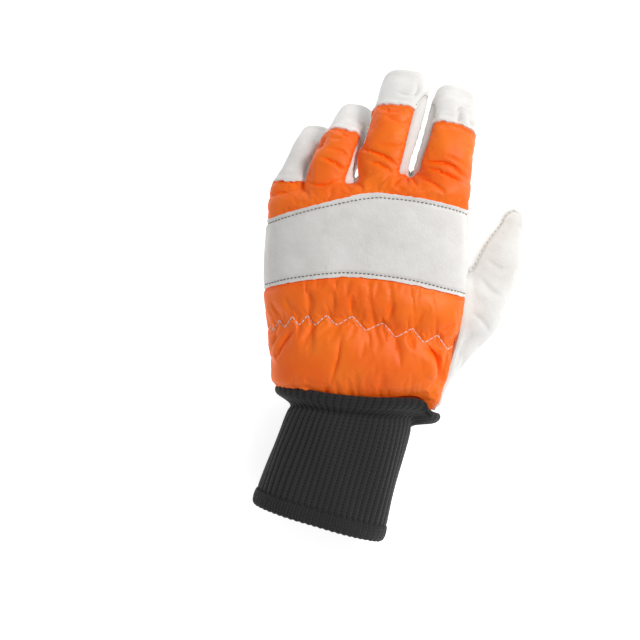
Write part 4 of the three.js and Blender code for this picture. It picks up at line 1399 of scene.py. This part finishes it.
def knit_material():
    """Broad ribs with narrow grooves that the loops dot, and finer ribs on the hem, with painted shade
    in the grooves, the ribs' middles and the tucks.
    """
    s = Shader("ribbed_knit", Specular_IOR_Level=0.2, Sheen_Weight=0.15, Sheen_Roughness=0.6)
    ribs = s.math("MULTIPLY", s.value("rib"), s.math("ADD", 1.0, s.value("hem")))
    side = s.math("PINGPONG", ribs, 0.5)
    groove = s.ramp(side, 0.24, 0.0)
    middle = s.ramp(side, 0.42, 0.5)
    turns = s.math("MULTIPLY", s.value("along"), 2 * math.pi / 1.9)
    loops = s.ramp(s.math("SINE", turns), -1, 1)
    fine_turns = s.math("MULTIPLY", s.value("along"), 2 * math.pi / 0.95)
    fine_turns = s.math("ADD", fine_turns, s.math("MULTIPLY", side, 9.0))
    fine_loops = s.ramp(s.math("SINE", fine_turns), -1, 1)
    dots = s.math("MULTIPLY", groove, s.math("ADD", 0.2, s.math("MULTIPLY", loops, 0.8)))
    body = s.math("SUBTRACT", 1.0, s.math("ADD", dots, s.math("MULTIPLY", middle, 0.25)))
    fuzz = s.noise(2200, 3, 0.7)
    normal = s.bump(s.math("ADD", body, s.math("MULTIPLY", fine_loops, 0.22)), 0.0006, 0.8)
    normal = s.bump(fuzz, 0.0003, 0.5, normal)
    # Painted shade: the dotted grooves, the tucks of the roll and hem and the ribs' middles darken the
    # knit towards near black.
    dark = s.math("ADD", s.math("MULTIPLY", dots, 1.35), s.math("MULTIPLY", s.value("painted_tuck_shade"), 0.8))
    dark = s.math("ADD", dark, s.math("MULTIPLY", middle, 0.18))
    colour = s.blend(s.ramp(fuzz, 0.3, 0.75), rgb("272728"), rgb("373737"))
    colour = s.blend(s.math("MULTIPLY", dark, 0.85, True), colour, rgb("0F0F10"))
    return s.finish(colour, s.ramp(fuzz, -3.0, 1.5), normal)


def thread_material(name, light, dark):
    """Twisted thread between two colours."""
    s = Shader(name, Specular_IOR_Level=0.3, Roughness=0.6)
    waves = dict(Vector=s.place(), Scale=700.0, Distortion=1.0)
    twist = s.add("ShaderNodeTexWave", waves, bands_direction="DIAGONAL")
    colour = s.blend(s.noise(300, 2), rgb(light), rgb(dark))
    return s.finish(colour, None, s.bump(twist.outputs["Fac"], 0.0001, 0.5))


# The glove

def glove():
    """Every piece of the glove, and the stitching over them."""
    materials = dict(leather=leather_material(), fabric=fabric_material(), knit=knit_material())
    white = thread_material("white_thread", "F6EDEA", "E4D2CC")
    grey = thread_material("grey_thread", "5F5A54", "7B746C")
    pale = thread_material("pale_thread", "BDB6AC", "A49C92")
    skin = whole_skin()
    fabric = back_panels(skin, materials)
    gusset_points, gusset = leather_panels(skin, materials)
    tips = caps(skin, materials)
    band_points, band_panel = band(skin, materials)
    patch_points, patch_panel = patch(skin, materials)
    cuff(materials)

    cloth = Surface([(moved, panel.faces) for moved, panel in fabric])
    stitches("elastic_stitching", [sewn_from(cloth, ELASTIC)], white)
    over_band = Surface([(band_points, band_panel.faces)])
    x = np.arange(-58.0, 67.0, 2.0)
    rows = []
    for line, shift in ((BAND_TOP, -BAND_INSET), (BAND_BOTTOM, BAND_INSET)):
        rows.append(sewn_from(over_band, np.stack([x, line_height(line, x) + shift], 1)))
    stitches("band_stitching", rows, grey)
    over_patch = Surface([(patch_points, patch_panel.faces)])
    rows = []
    for share in PATCH_ROWS:
        line = [(-70, 78 + 39 * share), (-40, 79 + 38.5 * share), (21, 80.4 + 37.6 * share)]
        rows.append(sewn_from(over_patch, line, -1, 0.2))
    stitches("patch_stitching", rows, grey)
    rows = []
    for finger, (moved, panel) in tips.items():
        keep = panel["cap_" + finger] > 1.5
        rows += sewn_near(Surface([(moved, panel.faces)]), rim_rows(panel, moved, keep, 1.3))
    stitches("fingertip_stitching", rows, pale)
    keep = gusset["web"] < 0.5
    over_gusset = Surface([(gusset_points, gusset.faces)])
    rows = sewn_near(over_gusset, rim_rows(gusset, gusset_points, keep, 1.2))
    stitches("thumb_stitching", rows, pale)


# The setting

CAMERA_HEIGHT, CAMERA_AT = 1.05, (-0.04125, -0.0096)
SENSOR, LENS = 36.0, 96.15
FLOOR_GLOW, SKY_STRENGTH = 0.72, 0.22
# The lights: name, place, size, power and colour.
LIGHTS = [
    ("key", (0.8, 0.4, 0.95), 0.4, 10.6, (1.0, 0.99, 0.97)),
    ("fill", (-0.9, 0.1, 0.9), 1.2, 1.7, (0.96, 0.98, 1.0)),
    ("front", (0.1, -1.1, 0.9), 1.0, 2.4, (1.0, 1.0, 1.0)),
]


def setting():
    """The camera, the floor, the lights and the sky."""
    data = bpy.data.cameras.new("camera")
    data.sensor_width, data.lens = SENSOR, LENS
    camera = bpy.data.objects.new("camera", data)
    camera.location = (*CAMERA_AT, CAMERA_HEIGHT)
    bpy.context.scene.collection.objects.link(camera)
    bpy.context.scene.camera = camera

    bpy.ops.mesh.primitive_plane_add(size=8, location=(0, 0, -0.0002))
    floor = bpy.context.object
    floor.name = "floor"
    s = Shader("pale_floor", Roughness=0.9, Specular_IOR_Level=0.1)
    s.surface.inputs["Emission Color"].default_value = (1, 1, 1, 1)
    s.surface.inputs["Emission Strength"].default_value = FLOOR_GLOW
    floor.data.materials.append(s.finish(s.blend(s.noise(3), rgb("F8F8F8"), rgb("FAFAFA"))))

    for name, place, size, power, colour in LIGHTS:
        light = bpy.data.lights.new(name, "AREA")
        light.size, light.energy, light.color = size, power, colour
        lamp = bpy.data.objects.new(name, light)
        lamp.location = place
        lamp.rotation_euler = (-Vector(place)).to_track_quat("-Z", "Y").to_euler()
        bpy.context.scene.collection.objects.link(lamp)
    world = bpy.data.worlds.new("studio")
    bpy.context.scene.world = world
    world.use_nodes = True
    sky = world.node_tree.nodes["Background"]
    sky.inputs["Color"].default_value = (1, 1, 1, 1)
    sky.inputs["Strength"].default_value = SKY_STRENGTH


bpy.context.scene.view_settings.view_transform = "Standard"
setting()
glove()
